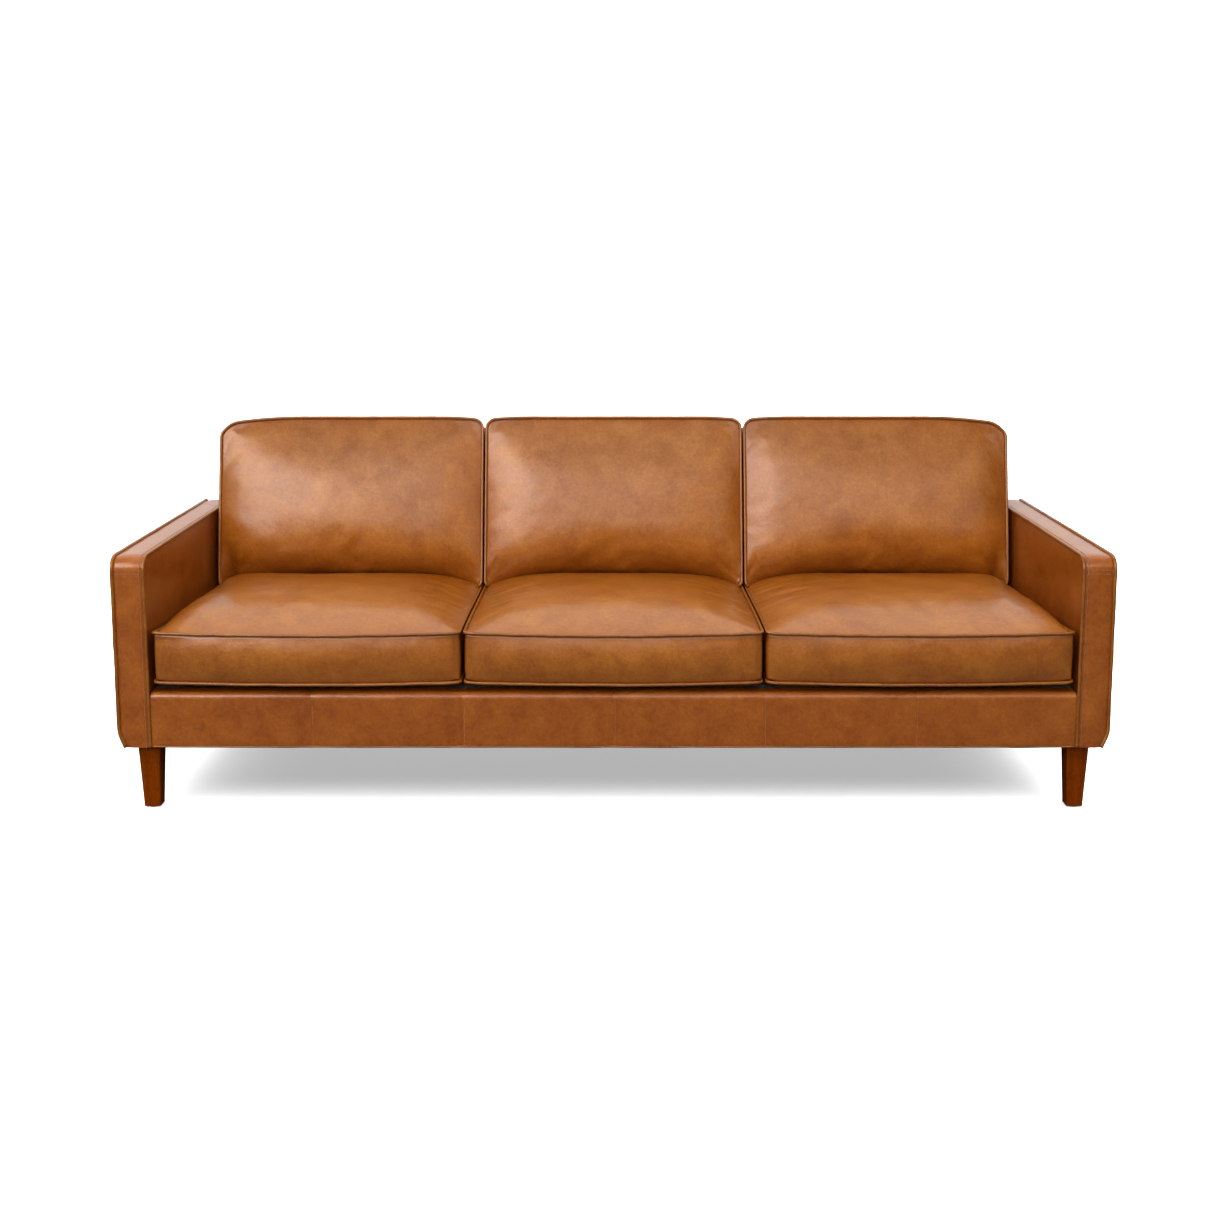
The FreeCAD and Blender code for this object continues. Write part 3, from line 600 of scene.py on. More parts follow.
def pulls(x, y, half, angles, lengths, depth, seed):
    """Creases that leave both corners (x = -half and half, y = 0) at the given angles, and die out."""
    total = np.zeros_like(x)
    for side in (-1, 1):
        inward = half - x * side
        for number, (angle, length) in enumerate(zip(angles, lengths)):
            jitter = math.sin(seed * 5.1 + number * 2.7 + side * 1.3)
            turn = math.radians(angle + 5 * jitter)
            along = inward * math.cos(turn) + y * math.sin(turn)
            across = y * math.cos(turn) - inward * math.sin(turn)
            across = across + 0.05 * np.sin(along / (18 * MM) + seed) * along
            reach = length * (1 + 0.25 * jitter)
            width = 5 * MM + along * 0.06
            strong = smooth_step(along / (12 * MM)) * smooth_step((reach - along) / (0.7 * reach))
            total += depth * (1 + 0.35 * jitter) * strong * np.exp(-((across / width) ** 2))
    return total


class CushionShape:
    """What seat and back cushions share: their CAD box, their seed and the room they have."""

    def __init__(self, kind, word, seed):
        self.low, self.high = box(f"{kind}_cushion_{word}_cover")
        self.half_a = (self.high[0] - self.low[0]) / 2 - PIPING
        self.outer_side = SIDES.get(word, 0)
        self.seed = seed + WORDS.index(word)

    def arm_side(self, s):
        """From 0 in the middle to 1 at the seam beside an arm; 0 all over the centre cushion."""
        return unit(s * self.outer_side)

    def seam_wave(self, s, t, size, shift=0.0):
        """How unevenly the seams run, in metres."""
        places = np.stack([s * 3, t * 3, np.full_like(s, self.seed + shift)], -1)
        return ripple(places.reshape(-1, 3), size, SEAM_WAVE, self.seed).reshape(s.shape)

    def between(self, x):
        """Held between the next cushion and, with a little more room, the arm."""
        low = self.low[0] - ARM_ROOM * (self.outer_side < 0)
        high = self.high[0] + ARM_ROOM * (self.outer_side > 0)
        return np.clip(x, low, high)


class SeatShape(CushionShape):
    """A seat cushion: a = X, b = Y, c = Z."""

    def __init__(self, word):
        super().__init__("seat", word, 1.0)
        low, high = self.low, self.high
        self.origin = np.array([(low[0] + high[0]) / 2, (low[1] + high[1]) / 2, 0.0])
        self.axes = np.eye(3)
        self.half_b = (high[1] - low[1]) / 2 - PIPING
        front, rear = 18 * MM, 24 * MM
        self.radii = {(-1, -1): front, (1, -1): front, (-1, 1): rear, (1, 1): rear}
        self.counts = (58, 58, 9)
        self.floor = low[2] + 0.5 * MM
        self.front_top = high[2] - 10 * MM
        self.rear_top = high[2] - 33 * MM
        self.front_bottom = low[2] + 26 * MM
        self.rear_bottom = low[2] + 19 * MM
        self.crown = 42 * MM

    def plan(self, s, t, a, b):
        front = unit(-t)
        ear = front ** 40 * np.abs(s) ** 40
        a = a + 2.5 * MM * ear * np.sign(s) + 4 * MM * self.arm_side(s) ** 6 * self.outer_side
        return a, b - 7 * MM * plate(s, 2.0) * front ** 6 - 1.5 * MM * ear

    def seam(self, s, t, front, rear):
        """A seam's height, from its front to its rear, with a dip along the front edge."""
        height = front + (rear - front) * smooth_step((t + 1) / 2)
        dip = 4 * MM * plate(s, 2.0) * unit(-t) ** 4
        return height - dip + self.seam_wave(s, t, 0.33, front * 40)

    def top(self, s, t):
        beside_arm = self.arm_side(s)
        sunk = 11 * MM * beside_arm ** 24 * plate(t, 5.0)
        rise = plate(s, 4.6 + 14.0 * beside_arm ** 2) * plate(t, 4.6)
        return self.seam(s, t, self.front_top, self.rear_top) - sunk + self.crown * rise

    def bottom(self, s, t):
        edge = self.seam(s, t, self.front_bottom, self.rear_bottom)
        rise = smooth_step(8 * (1 - np.abs(s))) * smooth_step(8 * (1 - np.abs(t)))
        return edge + (self.floor - edge) * rise

    def bow(self, s, t):
        front = (t < -0.999) * plate(s, 8.0)
        beside = (t > -0.999) * plate(t, 8.0)
        return 9 * MM * front + 2.0 * MM * beside

    def folds(self, points):
        """A few shallow pulls that run from the front corners over the top panel."""
        x = points[:, 0] - self.origin[0]
        y = points[:, 1] - self.low[1]
        return pulls(x, y, self.half_a, (14, 38, 62), (52 * MM, 70 * MM, 46 * MM), 1.3 * MM, self.seed)

    def confine(self, points):
        """Keeps the swollen leather off the deck, the arms and the next cushion."""
        points[:, 2] = np.maximum(points[:, 2], self.floor)
        points[:, 0] = self.between(points[:, 0])
        points[:, 1] = np.minimum(points[:, 1], self.high[1])
        return points


class BackShape(CushionShape):
    """A back cushion: a = X, b up its lean, c out of its face."""

    def __init__(self, word):
        super().__init__("back", word, 11.0)
        up = np.array([0.0, math.sin(LEAN), math.cos(LEAN)])
        out = np.array([0.0, -math.cos(LEAN), math.sin(LEAN)])
        self.axes = np.stack([ALONG_X, up, out])
        self.thick = 135 * MM
        self.seam_plane = -14 * MM
        foot, head = -27 * MM, 416 * MM
        corner = np.array([(self.low[0] + self.high[0]) / 2, 157 * MM, self.low[2]])
        self.origin = corner + up * (foot + head) / 2
        self.half_b = (head - foot) / 2
        outer, inner, low = 40 * MM, 22 * MM, 16 * MM
        left, right = {"left": (outer, inner), "centre": (inner, inner), "right": (inner, outer)}[word]
        self.radii = {(-1, -1): low, (1, -1): low, (-1, 1): left, (1, 1): right}
        self.counts = (58, 42, 11)
        self.crown = 50 * MM

    def plan(self, s, t, a, b):
        b = b + 34 * MM * plate(s, 2.6) * unit(-t) ** 3
        outer = self.arm_side(s)
        inner = np.abs(s) * (outer == 0)
        droop = 19 * MM * unit((outer - 0.35) / 0.65) ** 2.2
        droop = droop + 6 * MM * unit((inner - 0.65) / 0.35) ** 2.2
        b = b + (3 * MM - droop) * unit(t) ** 3
        a = a + 5 * MM * self.outer_side * outer ** 4 * (t + 1) / 2
        return a - np.abs(self.seam_wave(s, t, 0.3)) * np.sign(s) * np.abs(s) ** 4, b

    def top(self, s, t):
        middle = -0.16
        below = unit((middle - t) / (1 + middle))
        above = unit((t - middle) / (1 - middle))
        rise = plate(s, 4.0) * np.where(t < middle, plate(below, 3.0), plate(above, 2.6))
        under = unit((-t - 0.55) / 0.45) ** 2.2 * plate(s, 14.0)
        pocket = np.exp(-(((self.arm_side(s) - 0.93) / 0.055) ** 2))
        pocket = pocket * unit((-t - 0.35) / 0.65) ** 1.5
        return self.seam_plane + self.crown * rise - 46 * MM * under - 40 * MM * pocket

    def bottom(self, s, t):
        flat = smooth_step(7 * (1 - np.abs(s))) * smooth_step(7 * (1 - np.abs(t)))
        return -self.thick + 9 * MM * (1 - flat)

    def bow(self, s, t):
        head = (t > 0.999) * plate(s, 6.0)
        return 5 * MM * head + 0.5 * MM

    def folds(self, points):
        """Folds that run up and in from the two lower corners of the face."""
        place = points - self.origin
        up = place @ self.axes[1] + self.half_b
        front = smooth_step((place @ self.axes[2] + 30 * MM) / (20 * MM))
        angles, lengths = (16, 36, 58, 78), (95 * MM, 120 * MM, 85 * MM, 60 * MM)
        return front * pulls(place[:, 0], up - 14 * MM, self.half_a, angles, lengths, 3.4 * MM, self.seed)

    def confine(self, points):
        """Keeps the swollen leather off the inside back, the arms and the next cushion."""
        points[:, 0] = self.between(points[:, 0])
        depth = (points - self.origin) @ self.axes[2]
        push = np.maximum(-self.thick - depth, 0)
        return points + push[:, None] * self.axes[2]


class CoreShape:
    """The foam inside a cushion: its leather's shape, drawn in on every side."""

    def __init__(self, outer, inset):
        self.outer = outer
        self.inset = inset
        self.origin, self.axes = outer.origin, outer.axes
        self.half_a, self.half_b = outer.half_a - inset, outer.half_b - inset
        self.radii = outer.radii
        self.plan = outer.plan
        self.counts = (26, 26, 5)

    def top(self, s, t):
        drawn_in = unit(np.abs(s) ** 10 + unit(-t) ** 10)
        top = self.outer.top(s * 0.96, np.clip(t * 1.04, -1, 1)) - self.inset * 0.7 - 40 * MM * drawn_in
        return np.maximum(np.minimum(top, self.outer.top(s, t) - 10 * MM), self.bottom(s, t) + 12 * MM)

    def bottom(self, s, t):
        return self.outer.bottom(s, t) + self.inset * 0.7

    def bow(self, s, t):
        return self.outer.bow(s, t) * 0.5


SWELL_CAP = 14 * MM
SWELL_FRAMES = 20
EVEN_OUT = range(-6, 7)
CLOTH = {
    "quality": 5,
    "mass": 0.15,
    "tension_stiffness": 25,
    "compression_stiffness": 25,
    "shear_stiffness": 12,
    "bending_stiffness": 3.0,
    "air_damping": 3.0,
    "vertex_group_mass": "seams",
    "use_pressure": True,
    "uniform_pressure_force": 4.0,
    "shrink_min": -0.0025,
}


def held_back(piece, shell, swollen):
    """The swollen places, moved no further than the cap, with the boxing evened out round the cushion."""
    start = vertex_values(piece.data)
    move = swollen - start
    length = np.linalg.norm(move, axis=1)[:, None]
    move = move * (SWELL_CAP * np.tanh(length / SWELL_CAP) / np.maximum(length, 1e-9))
    for loop in shell.boxing_loops:
        move[loop] = sum(np.roll(move[loop], step, 0) for step in EVEN_OUT) / len(EVEN_OUT)
    return start + move


def swell_all(jobs):
    """Runs every cushion's cloth together, with seams pinned, and returns each one's swollen places."""
    scene = bpy.context.scene
    for piece, shell in jobs:
        group = piece.vertex_groups.new(name="seams")
        group.add(shell.seams[0] + shell.seams[1], 1.0, "REPLACE")
        cloth = piece.modifiers.new("Cloth", "CLOTH")
        for key, value in CLOTH.items():
            setattr(cloth.settings, key, value)
        cloth.settings.effector_weights.gravity = 0
        cloth.collision_settings.use_collision = False
        cloth.point_cache.frame_start = 1
        cloth.point_cache.frame_end = SWELL_FRAMES
    for number in range(1, SWELL_FRAMES + 1):
        scene.frame_set(number)
    graph = bpy.context.evaluated_depsgraph_get()
    swollen = [vertex_values(piece.evaluated_get(graph).to_mesh()) for piece, _ in jobs]
    for piece, _ in jobs:
        piece.modifiers.remove(piece.modifiers["Cloth"])
        piece.vertex_groups.clear()
    scene.frame_set(1)
    return [held_back(piece, shell, points) for (piece, shell), points in zip(jobs, swollen)]


def crease_edges(piece, loops):
    """Keeps the seam folds crisp through the subdivision."""
    wanted = set()
    for loop in loops:
        wanted |= {tuple(sorted(pair)) for pair in zip(loop, loop[1:] + loop[:1])}
    mesh = piece.data
    attribute = mesh.attributes.new("crease_edge", "FLOAT", "EDGE")
    values = [1.0 if tuple(sorted(edge.vertices)) in wanted else 0.0 for edge in mesh.edges]
    attribute.data.foreach_set("value", values)


def finish_cushion(piece, shell, shape, points):
    """Smooths the swollen leather, and gives it lumps away from its seams and folds at its corners."""
    set_places(piece, shape.confine(points))
    crease_edges(piece, shell.seams)
    subdivide(piece)
    places = vertex_values(piece.data)
    normals = vertex_values(piece.data, "normal")
    # the painted seam shade, read back, also keeps the lumps off the seams
    seam_shade = np.zeros(len(places), np.float32)
    piece.data.attributes["seam_shade"].data.foreach_get("value", seam_shade)
    calm = unit(1 - seam_shade * 1.2)
    lump = ripple(places, 0.11, 1.6 * MM, shape.seed) + ripple(places, 0.035, 0.5 * MM, shape.seed + 5)
    places += normals * (lump * calm - shape.folds(places))[:, None]
    set_places(piece, shape.confine(places))


def local_to_world(shape, points):
    return shape.origin + points @ shape.axes


def uneven(radius, path, seed):
    """A welt's radius along its path, up to a tenth more or less."""
    return radius * (1 + ripple(path, 0.02, 0.10, seed))


def cushion_piping(name, shell, shape, body):
    """The two welts round a cushion, standing a little proud of its seams."""
    parts = Parts()
    for seam, tilt in zip(shell.seams, (1, -1)):
        path = shell.points[seam] + shell.outward * WELT_OFFSET * 0.4 + UP * tilt * WELT_OFFSET
        path = local_to_world(shape, resample(path, 6 * MM, closed=True))
        points, faces = tube(path, uneven(PIPING, path, shape.seed), shape.axes[2], closed=True)
        points[:, 0] = shape.between(points[:, 0])
        parts.add(points, faces, 3.0 + tilt)
    parts.make(name, PIPING_LEATHER, body, "piping")


def cushion_leather(name, shell, shape, body):
    points = local_to_world(shape, shell.points)
    hides = shell.hides + shape.seed * 5
    # painted shade: the lower panel's dye is darker and redder than the top's, the boxing's more so, and
    # the seams darken too
    dark_tone_and_side_shade = shell.hides * SIDE_SHADE_STEP
    piece = make(name, points, shell.faces, LEATHER, body, hides, shell.seam_shade, dark_tone_and_side_shade)
    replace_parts(piece, f"{body}_cover")
    return piece


def cushion_foam(name, shape, body):
    core = CoreShape(shape, FOAM_INSET)
    shell = Shell(core)
    block = make(name, local_to_world(core, shell.points), shell.faces, FOAM, body)
    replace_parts(block, f"{body}_core")


def build_cushions():
    jobs = []
    shapes = []
    for kind, shape_of, fill in (("seat", SeatShape, 0.85), ("back", BackShape, 0.75)):
        for word in WORDS:
            body = f"{kind}_cushion_{word}"
            shape = shape_of(word)
            shell = Shell(shape)
            jobs.append((cushion_leather(f"{kind}_{word}_leather", shell, shape, body), shell))
            shapes.append(shape)
            cushion_piping(f"{kind}_{word}_piping", shell, shape, body)
            cushion_foam(f"{kind}_{word}_foam", shape, body)
    swollen = swell_all(jobs)
    for (piece, shell), shape, points in zip(jobs, shapes, swollen):
        finish_cushion(piece, shell, shape, points)


# ---------------------------------------------------------------- arms

ARM_RADIUS = 31 * MM
ARM_PIPING = 4 * MM
TUCK_TOP = 194 * MM
TUCK = 14 * MM
TUCK_CURVE = 0.62


def line_3d(pairs):
    """Y, Z pairs as points in the plane X = 0."""
    return np.array([(0.0, y, z) for y, z in pairs])


class Arm:
    """One arm's sizes, read from its CAD nodes; inner and outer are how far out its two faces are."""

    def __init__(self, word):
        self.word = word
        self.side = SIDES[word]
        self.seed = 31.0 + self.side
        ends = [abs(corner[0]) for corner in box(f"{word}_arm_piping")]
        self.outer = max(ends) - ARM_PIPING
        self.inner = min(ends) + ARM_PIPING
        low, high = box(f"{word}_arm_border")
        self.half, self.base, self.top = high[1], low[2], high[2]
        self.lining_base = box(f"{word}_arm_inner_panel")[0][2]
        self.groove = self.top - 33 * MM
        self.outline = self.section(9 * MM)
        self.normal = np.cross(ALONG_X, tangents(line_3d(self.outline)))

    def section(self, pitch):
        """Points up the front, over the rounded top and down the back: (Y, Z)."""
        turns = np.linspace(math.pi, math.pi / 2, 12)
        y = ARM_RADIUS - self.half + ARM_RADIUS * np.cos(turns)
        z = self.top - ARM_RADIUS + ARM_RADIUS * np.sin(turns)
        front = [(-self.half, self.base), *zip(y, z)]
        return resample(line_3d(front + [(-y, z) for y, z in front[::-1]]), pitch)[:, 1:]

    def tuck(self, z):
        """How far the arm's outer face draws in towards its bottom edge."""
        share = (TUCK_TOP - z) / (TUCK_TOP - self.base)
        return TUCK * smooth_step(share * TUCK_CURVE) / smooth_step(TUCK_CURVE)


def arm_border(arm):
    """The strip over the arm, crowned between its two pipings, with a seam's groove across both ends."""
    heights = arm.outline[:, 1]
    groove = 1.6 * MM * np.exp(-(((heights - arm.groove) / (4 * MM)) ** 2))
    rows = []
    for place in edge_dense(14):
        x = (arm.outer + arm.inner) / 2 + place * (arm.outer - arm.inner) / 2
        x = x - arm.tuck(heights) * (place + 1) / 2
        crown = 5.0 * MM * plate(place, 3.0) - 3.0 * MM
        rows.append(np.column_stack([x * arm.side, arm.outline]) + arm.normal * (crown - groove)[:, None])
    points = np.concatenate(rows)
    points += np.tile(arm.normal, (len(rows), 1)) * ripple(points, 0.06, 0.7 * MM, arm.seed)[:, None]
    faces = grid_faces(len(rows), len(heights), flip=arm.side < 0)
    hides = []
    for face in faces:
        _, y, z = points[face[0]]
        end_hide = 3.0 if y < 0 else 4.0
        hides.append(arm.seed + (end_hide if z < arm.groove else 5.0))
    name = f"{arm.word}_arm_border_leather"
    # painted shade: the border's dye is darker and redder all over
    border = make(name, points, faces, LEATHER, "frame", hides, dark_tone_and_side_shade=1.0)
    subdivide(border)
    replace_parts(border, f"{arm.word}_arm_border")


def arm_panel(arm, kind, face, low, puff, direction):
    """A side panel, puffed a little between its seams; direction is 1 outwards and -1 inwards."""
    half_b = (arm.top - low) / 2
    s, t = np.meshgrid(edge_dense(64), edge_dense(36), indexing="ij")
    radii = {(-1, 1): ARM_RADIUS, (1, 1): ARM_RADIUS}
    y, z = round_corners(s * arm.half, t * half_b, arm.half, half_b, radii)
    z = z + low + half_b
    rise = plate(s, 14.0) * plate(t, 12.0)
    x = face + direction * (puff * rise - 1.0 * MM)
    if kind == "outer":
        x = x - arm.tuck(z)
    points = np.stack([x * arm.side, y, z], -1).reshape(-1, 3)
    wave = ripple(points, 0.16, 1.2 * MM, arm.seed + 7) * rise.reshape(-1)
    points[:, 0] += wave * arm.side * direction
    faces = grid_faces(*s.shape, flip=arm.side * direction < 0)
    name = f"{arm.word}_arm_{kind}_leather"
    hide = arm.seed + 8.0 + direction
    # painted shade: darker along the seams, and darker, redder dye all over the panel
    panel = make(name, points, faces, LEATHER, "frame", hide, seam_shading(s, t, 26), 1.0)
    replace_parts(panel, f"{arm.word}_arm_{kind}_panel")


def arm_piping(arm):
    """The welts round both side panels."""
    parts = Parts()
    outline = arm.section(6 * MM)
    for x in (arm.outer - arm.tuck(outline[:, 1]), np.full(len(outline), arm.inner)):
        path = np.column_stack([x * arm.side, outline])
        path[:, 0] += ripple(path, 0.05, 0.8 * MM, arm.seed)
        parts.add(*tube(path, uneven(ARM_PIPING, path, arm.seed), ALONG_X), arm.seed)
    piping = parts.make(f"{arm.word}_arm_piping_leather", PIPING_LEATHER, "frame", "piping")
    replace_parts(piping, f"{arm.word}_arm_piping")


def arm_stitching(arm):
    """A row beside the inner piping, and a row each side of the groove across both ends."""
    sewn = Parts()
    count = len(arm.outline)
    beside = np.full(count, (arm.inner + 9 * MM) * arm.side)
    path = np.column_stack([beside, arm.outline]) + arm.normal * 1.3 * MM
    shares = np.linspace(0, 1, len(resample(path, STITCH_PITCH)))
    lift = [np.interp(shares, np.linspace(0, 1, count), arm.normal[:, axis]) for axis in range(3)]
    stitches(sewn, path, np.stack(lift, 1))
    for end in (-1, 1):
        for gap in (4.5 * MM, -4.5 * MM):
            y, z = end * (arm.half + 1.2 * MM), arm.groove + gap
            path = np.array([(x * arm.side, y, z) for x in (arm.inner + 12 * MM, arm.outer - 7 * MM)])
            stitches(sewn, path, np.array([0.0, end, 0.0]))
    sewn.make(f"{arm.word}_arm_stitching", THREAD, "frame")


def build_arm(word):
    arm = Arm(word)
    arm_border(arm)
    arm_panel(arm, "outer", arm.outer, arm.base, 4.0 * MM, 1)
    arm_panel(arm, "inner", arm.inner, arm.lining_base, 2.0 * MM, -1)
    arm_piping(arm)
    arm_stitching(arm)


# ---------------------------------------------------------------- rail and back

PANEL_CELL = 14 * MM


def swept_panels(place, replaced, profile, half, seams, puff, sunk, seed):
    """Leather panels sewn edge to edge along X, all of one section, puffed between their seams."""
    edges = [-half, *sorted(seams), half]
    parts = Parts()
    normal = np.cross(ALONG_X, tangents(profile))
    for number, (low, high) in enumerate(zip(edges, edges[1:])):
        places = edge_dense(max(6, round((high - low) / PANEL_CELL)), 0.7)
        rows = []
        for share in places:
            row = profile + normal * (puff * plate(share, 10.0) - sunk)
            row[:, 0] = (low + high) / 2 + share * (high - low) / 2
            rows.append(row)
        points = np.concatenate(rows)
        calm = np.repeat(plate(places, 6.0), len(profile))
        wave = (ripple(points, 0.09, 0.9 * MM, seed) + 0.4 * MM) * calm
        points += np.tile(normal, (len(rows), 1)) * wave[:, None]
        parts.add(points, grid_faces(len(rows), len(profile)), seed + number)
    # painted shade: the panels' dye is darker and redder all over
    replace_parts(parts.make(f"{place}_leather", LEATHER, "frame", "leather", dark_tone_and_side_shade=1.0), replaced)


def seam_stitching(place, seams, y, low, high, facing):
    """A fine upright row of stitches beside each seam of a face at y; facing is -1 at the front."""
    sewn = Parts()
    for seam in seams:
        path = np.array([(seam + 3.4 * MM, y, z) for z in (low, high)])
        stitches(sewn, path, np.array([0.0, facing, 0.0]), 0.42 * MM)
    sewn.make(f"{place}_stitching", THREAD, "frame")


def straight_piping(name, half, y, z, radius, seed, hide):
    """A welt along X that rises and falls a little."""
    path = resample(np.array([(-half, y, z), (half, y, z)]), 10 * MM)
    path[:, 2] += ripple(path, 0.08, 0.6 * MM, seed)
    points, faces = tube(path, radius, UP, sides=8)
    make(name, points, faces, PIPING_LEATHER, "frame", hide)


def round_path(corners, radii, pitch):
    """A path through corners in the YZ plane, with each inner corner rounded."""
    corners = [np.array(corner, float) for corner in corners]
    path = [corners[0]]
    for before, corner, after, radius in zip(corners, corners[1:], corners[2:], radii):
        back = (before - corner) / np.linalg.norm(before - corner)
        ahead = (after - corner) / np.linalg.norm(after - corner)
        half = math.acos(float(np.clip(back @ ahead, -1, 1))) / 2
        reach = radius / math.tan(half)
        start, end = corner + back * reach, corner + ahead * reach
        centre = corner + (back + ahead) / np.linalg.norm(back + ahead) * radius / math.sin(half)
        for share in np.linspace(0, 1, 7):
            chord = start * (1 - share) + end * share - centre
            path.append(centre + chord / np.linalg.norm(chord) * radius)
    path.append(corners[-1])
    return resample(line_3d(path), pitch)


def seat_join():
    """How far from the middle the centre cushion meets its neighbours."""
    return (box("seat_cushion_centre_cover")[1][0] + box("seat_cushion_right_cover")[0][0]) / 2


def build_front_rail():
    """The rail's six panels, the stitching beside their seams and the hem along its foot."""
    low, high = box("front_rail_cover")
    half = high[0]
    join = seat_join()
    outer_join = join + (half - join) * 0.487
    seams = [0.0, join, -join, outer_join, -outer_join]
    corners = [(high[1], low[2]), (low[1], low[2]), (low[1], high[2]), (high[1], high[2])]
    profile = round_path(corners, [3 * MM, 12 * MM], 5 * MM)
    swept_panels("front_rail", "front_rail_cover", profile, half, seams, 2.4 * MM, 0.7 * MM, 51.0)
    face = low[1] + 0.1 * MM
    seam_stitching("front_rail", seams, face, low[2] + 6 * MM, high[2] - 14 * MM, -1.0)
    straight_piping("front_rail_hem", half, low[1], low[2] + 2 * MM, 2.4 * MM, 3.0, 58.0)


def back_ends(front_line, rear, half):
    """The leather over both ends of the inside back, between its front line and the rear."""
    ends = Parts()
    for side in SIDES.values():
        rows = []
        for share in edge_dense(8) / 2 + 0.5:
            row = front_line * (1, 0, 1)
            row[:, 1] = front_line[:, 1] * (1 - share) + rear * share
            row[:, 0] = side * (half - 0.5 * MM + 2.5 * MM * plate(share * 2 - 1, 4.0))
            rows.append(row)
        ends.add(np.stack(rows), grid_faces(len(rows), len(front_line), flip=side > 0), 66.0 + side)
    # painted shade: the ends' dye is darker and redder all over
    ends.make("back_end_leather", LEATHER, "frame", "leather", dark_tone_and_side_shade=1.0)


def build_back():
    """The inside back, its ends, the outside back and the welt along the top between them."""
    low, high = box("inside_back_cover")
    panel_low, panel_high = box("outside_back_panel")
    seat_low = box("back_cushion_left_cover")[0][2]
    half, top = high[0], high[2]
    seams = [seat_join(), -seat_join()]
    front_top = low[1] + (top - seat_low) * math.tan(LEAN)
    corners = [(low[1], low[2]), (low[1], seat_low), (front_top, top)]
    corners += [(high[1], top), (high[1], panel_high[2])]
    profile = round_path(corners, [20 * MM, 5 * MM, 5 * MM], 12 * MM)
    swept_panels("inside_back", "inside_back_cover", profile, half, seams, 3.0 * MM, 0.2 * MM, 61.0)
    back_ends(profile[profile[:, 1] < high[1] - 15 * MM], high[1], half)
    corners = [(panel_high[1], panel_high[2]), (panel_high[1], panel_low[2])]
    profile = resample(line_3d(corners), 12 * MM)
    swept_panels("outside_back", "outside_back_panel", profile, half, seams, 3.0 * MM, 0.7 * MM, 71.0)
    face = panel_high[1] + 0.1 * MM
    seam_stitching("outside_back", seams, face, panel_low[2] + 6 * MM, panel_high[2] - 8 * MM, 1.0)
    straight_piping("back_top_piping", half, high[1], panel_high[2], ARM_PIPING, 4.0, 78.0)


# ---------------------------------------------------------------- CAD nodes, stage


def finish_cad_nodes():
    """A procedural material for every CAD node, by the record's slot name."""
    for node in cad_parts.values():
        for slot in node.material_slots:
            key = slot.material.name.split(".")[0] if slot.material else ""
            slot.material = SLOT_MATERIALS.get(key, TIMBER)
    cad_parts["seat_deck_cloth"].material_slots[0].material = DECK_CLOTH


FLOOR_HALF = 20.0
LIGHT_TARGET = Vector((0.0, 0.0, 0.5))
CAMERA_LENS = 45.8582
CAMERA_TILT = math.radians(8.5)


def build_floor():
    """A pale floor that glows to the camera, less near the sofa and fully further out, so that it fades to
    plain white; to every other ray it is dark, and throws little light back up.
    """
    mesh = bpy.data.meshes.new("floor")
    corners = [(-1, -1), (1, -1), (1, 1), (-1, 1)]
    mesh.from_pydata([(x * FLOOR_HALF, y * FLOOR_HALF, 0.0) for x, y in corners], [], [(0, 1, 2, 3)])
    shader = Shader("studio_floor", roughness=0.8, specular=0.0)
    seen = shader.node("ShaderNodeLightPath").outputs["Is Camera Ray"]
    pale = shader.mix(shader.noise(1.5, 3.0), (0.88, 0.88, 0.88), (0.90, 0.90, 0.90))
    shader.set("Base Color", shader.mix(seen, (0.07, 0.07, 0.07), pale))
    shader.set("Emission Color", (1.0, 1.0, 1.0))
    away = shader.node("ShaderNodeVectorMath", {0: shader.place}, operation="LENGTH").outputs["Value"]
    glow = shader.spread(away, 1.3, 3.2, 0.40, 1.0)
    shader.set("Emission Strength", shader.maths("MULTIPLY", seen, glow))
    mesh.materials.append(shader.material)
    floor = new_object("floor", mesh)
    return floor


def build_world():
    """White to the camera; to every other ray it is bright above the back and dim in front."""
    world = bpy.data.worlds.new("studio")
    bpy.context.scene.world = world
    world.use_nodes = True
    nodes = Nodes(world.node_tree)
    towards = nodes.node("ShaderNodeTexCoord").outputs["Generated"]
    facing = {0: towards, 1: (0.0, 0.75, 0.45)}
    facing = nodes.node("ShaderNodeVectorMath", facing, operation="DOT_PRODUCT").outputs["Value"]
    shade = {0: facing, 1: 0.25, 2: 0.75, 3: 0.04, 4: 0.78}
    shade = nodes.node("ShaderNodeMapRange", shade, interpolation_type="SMOOTHSTEP").outputs[0]
    seen = nodes.node("ShaderNodeLightPath").outputs["Is Camera Ray"]
    strength = nodes.node("ShaderNodeMix", {0: seen, 2: shade, 3: 1.05}).outputs[0]
    background = world.node_tree.nodes["Background"]
    nodes.feed(background.inputs["Strength"], strength)
    nodes.feed(background.inputs["Color"], (1.0, 1.0, 1.0))


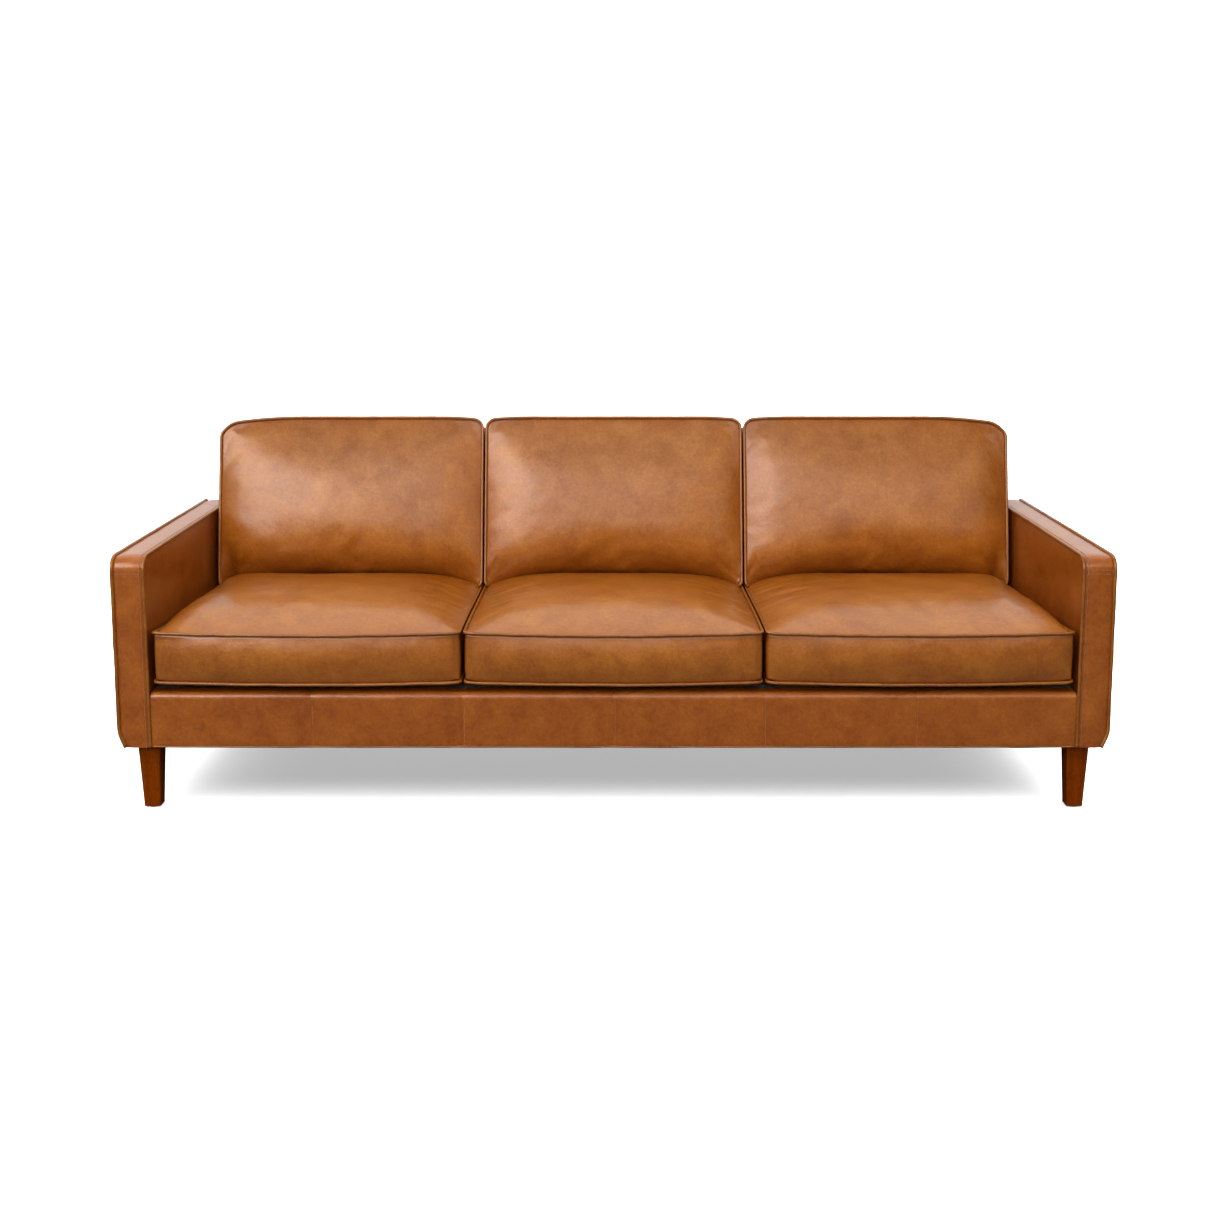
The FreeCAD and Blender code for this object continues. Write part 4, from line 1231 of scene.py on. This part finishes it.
def softbox(name, azimuth, elevation, distance, size, power, hidden=None):
    """An oval light facing the target; azimuth 0 is in front of the sofa, and grows to the right.

    A light that is hidden from glossy rays leaves no shine; one hidden from diffuse rays is only a shine.
    """
    data = bpy.data.lights.new(name, "AREA")
    data.shape = "ELLIPSE"
    data.size, data.size_y = size
    data.energy = power
    turn, tilt = math.radians(azimuth), math.radians(elevation)
    away = Vector((math.sin(turn) * math.cos(tilt), -math.cos(turn) * math.cos(tilt), math.sin(tilt)))
    light = new_object(name, data)
    light.location = LIGHT_TARGET + away * distance
    light.rotation_euler = (-away).to_track_quat("-Z", "Y").to_euler()
    if hidden:
        setattr(light, f"visible_{hidden}", False)
    return light


def build_lights(floor):
    """The sofa's lights and the floor's own, which leave each other's subject alone."""
    for_sofa = [
        softbox("main", -8.0, 63.0, 5.0, (6.5, 3.6), 196, "glossy"),
        softbox("key", -46.0, 25.0, 6.0, (5.0, 3.4), 60),
        softbox("shine", -46.0, 25.0, 5.5, (4.6, 3.1), 50, "diffuse"),
        softbox("sheen", 0.0, 30.0, 6.0, (6.0, 3.0), 34, "diffuse"),
        softbox("front", -4.0, 20.0, 6.4, (5.3, 2.7), 146, "glossy"),
        softbox("rear", 180.0, 22.0, 6.0, (5.0, 3.0), 70, "glossy"),
        softbox("fill", 44.0, 24.0, 6.2, (3.4, 3.4), 19),
    ]
    for_floor = [
        softbox("floor_wash_front", 0.0, 60.0, 7.0, (14.0, 9.0), 730),
        softbox("floor_wash_rear", 180.0, 62.0, 7.0, (14.0, 9.0), 230),
        softbox("floor_wash_left", -65.0, 42.0, 7.0, (8.0, 7.0), 300),
        softbox("floor_wash_right", 65.0, 42.0, 7.0, (8.0, 7.0), 300),
    ]
    groups = ("floor_only", "INCLUDE", for_floor), ("all_but_floor", "EXCLUDE", for_sofa)
    for name, state, lights in groups:
        lit = bpy.data.collections.new(name)
        lit.objects.link(floor)
        lit.collection_objects[0].light_linking.link_state = state
        for light in lights:
            light.light_linking.receiver_collection = lit


def build_camera():
    scene = bpy.context.scene
    scene.view_settings.view_transform = "Standard"
    scene.view_settings.look = "None"
    scene.view_settings.gamma = 0.84
    scene.view_settings.exposure = 0.32
    data = bpy.data.cameras.new("camera")
    data.sensor_width = 36.0
    data.lens = CAMERA_LENS
    data.shift_y = -0.104
    camera = new_object("camera", data)
    camera.location = (0.0, -3.848, 1.264)
    camera.rotation_euler = (math.pi / 2 - CAMERA_TILT, 0.0, 0.0)
    scene.camera = camera


finish_cad_nodes()
build_cushions()
for arm_word in SIDES:
    build_arm(arm_word)
build_front_rail()
build_back()
build_world()
build_lights(build_floor())
build_camera()
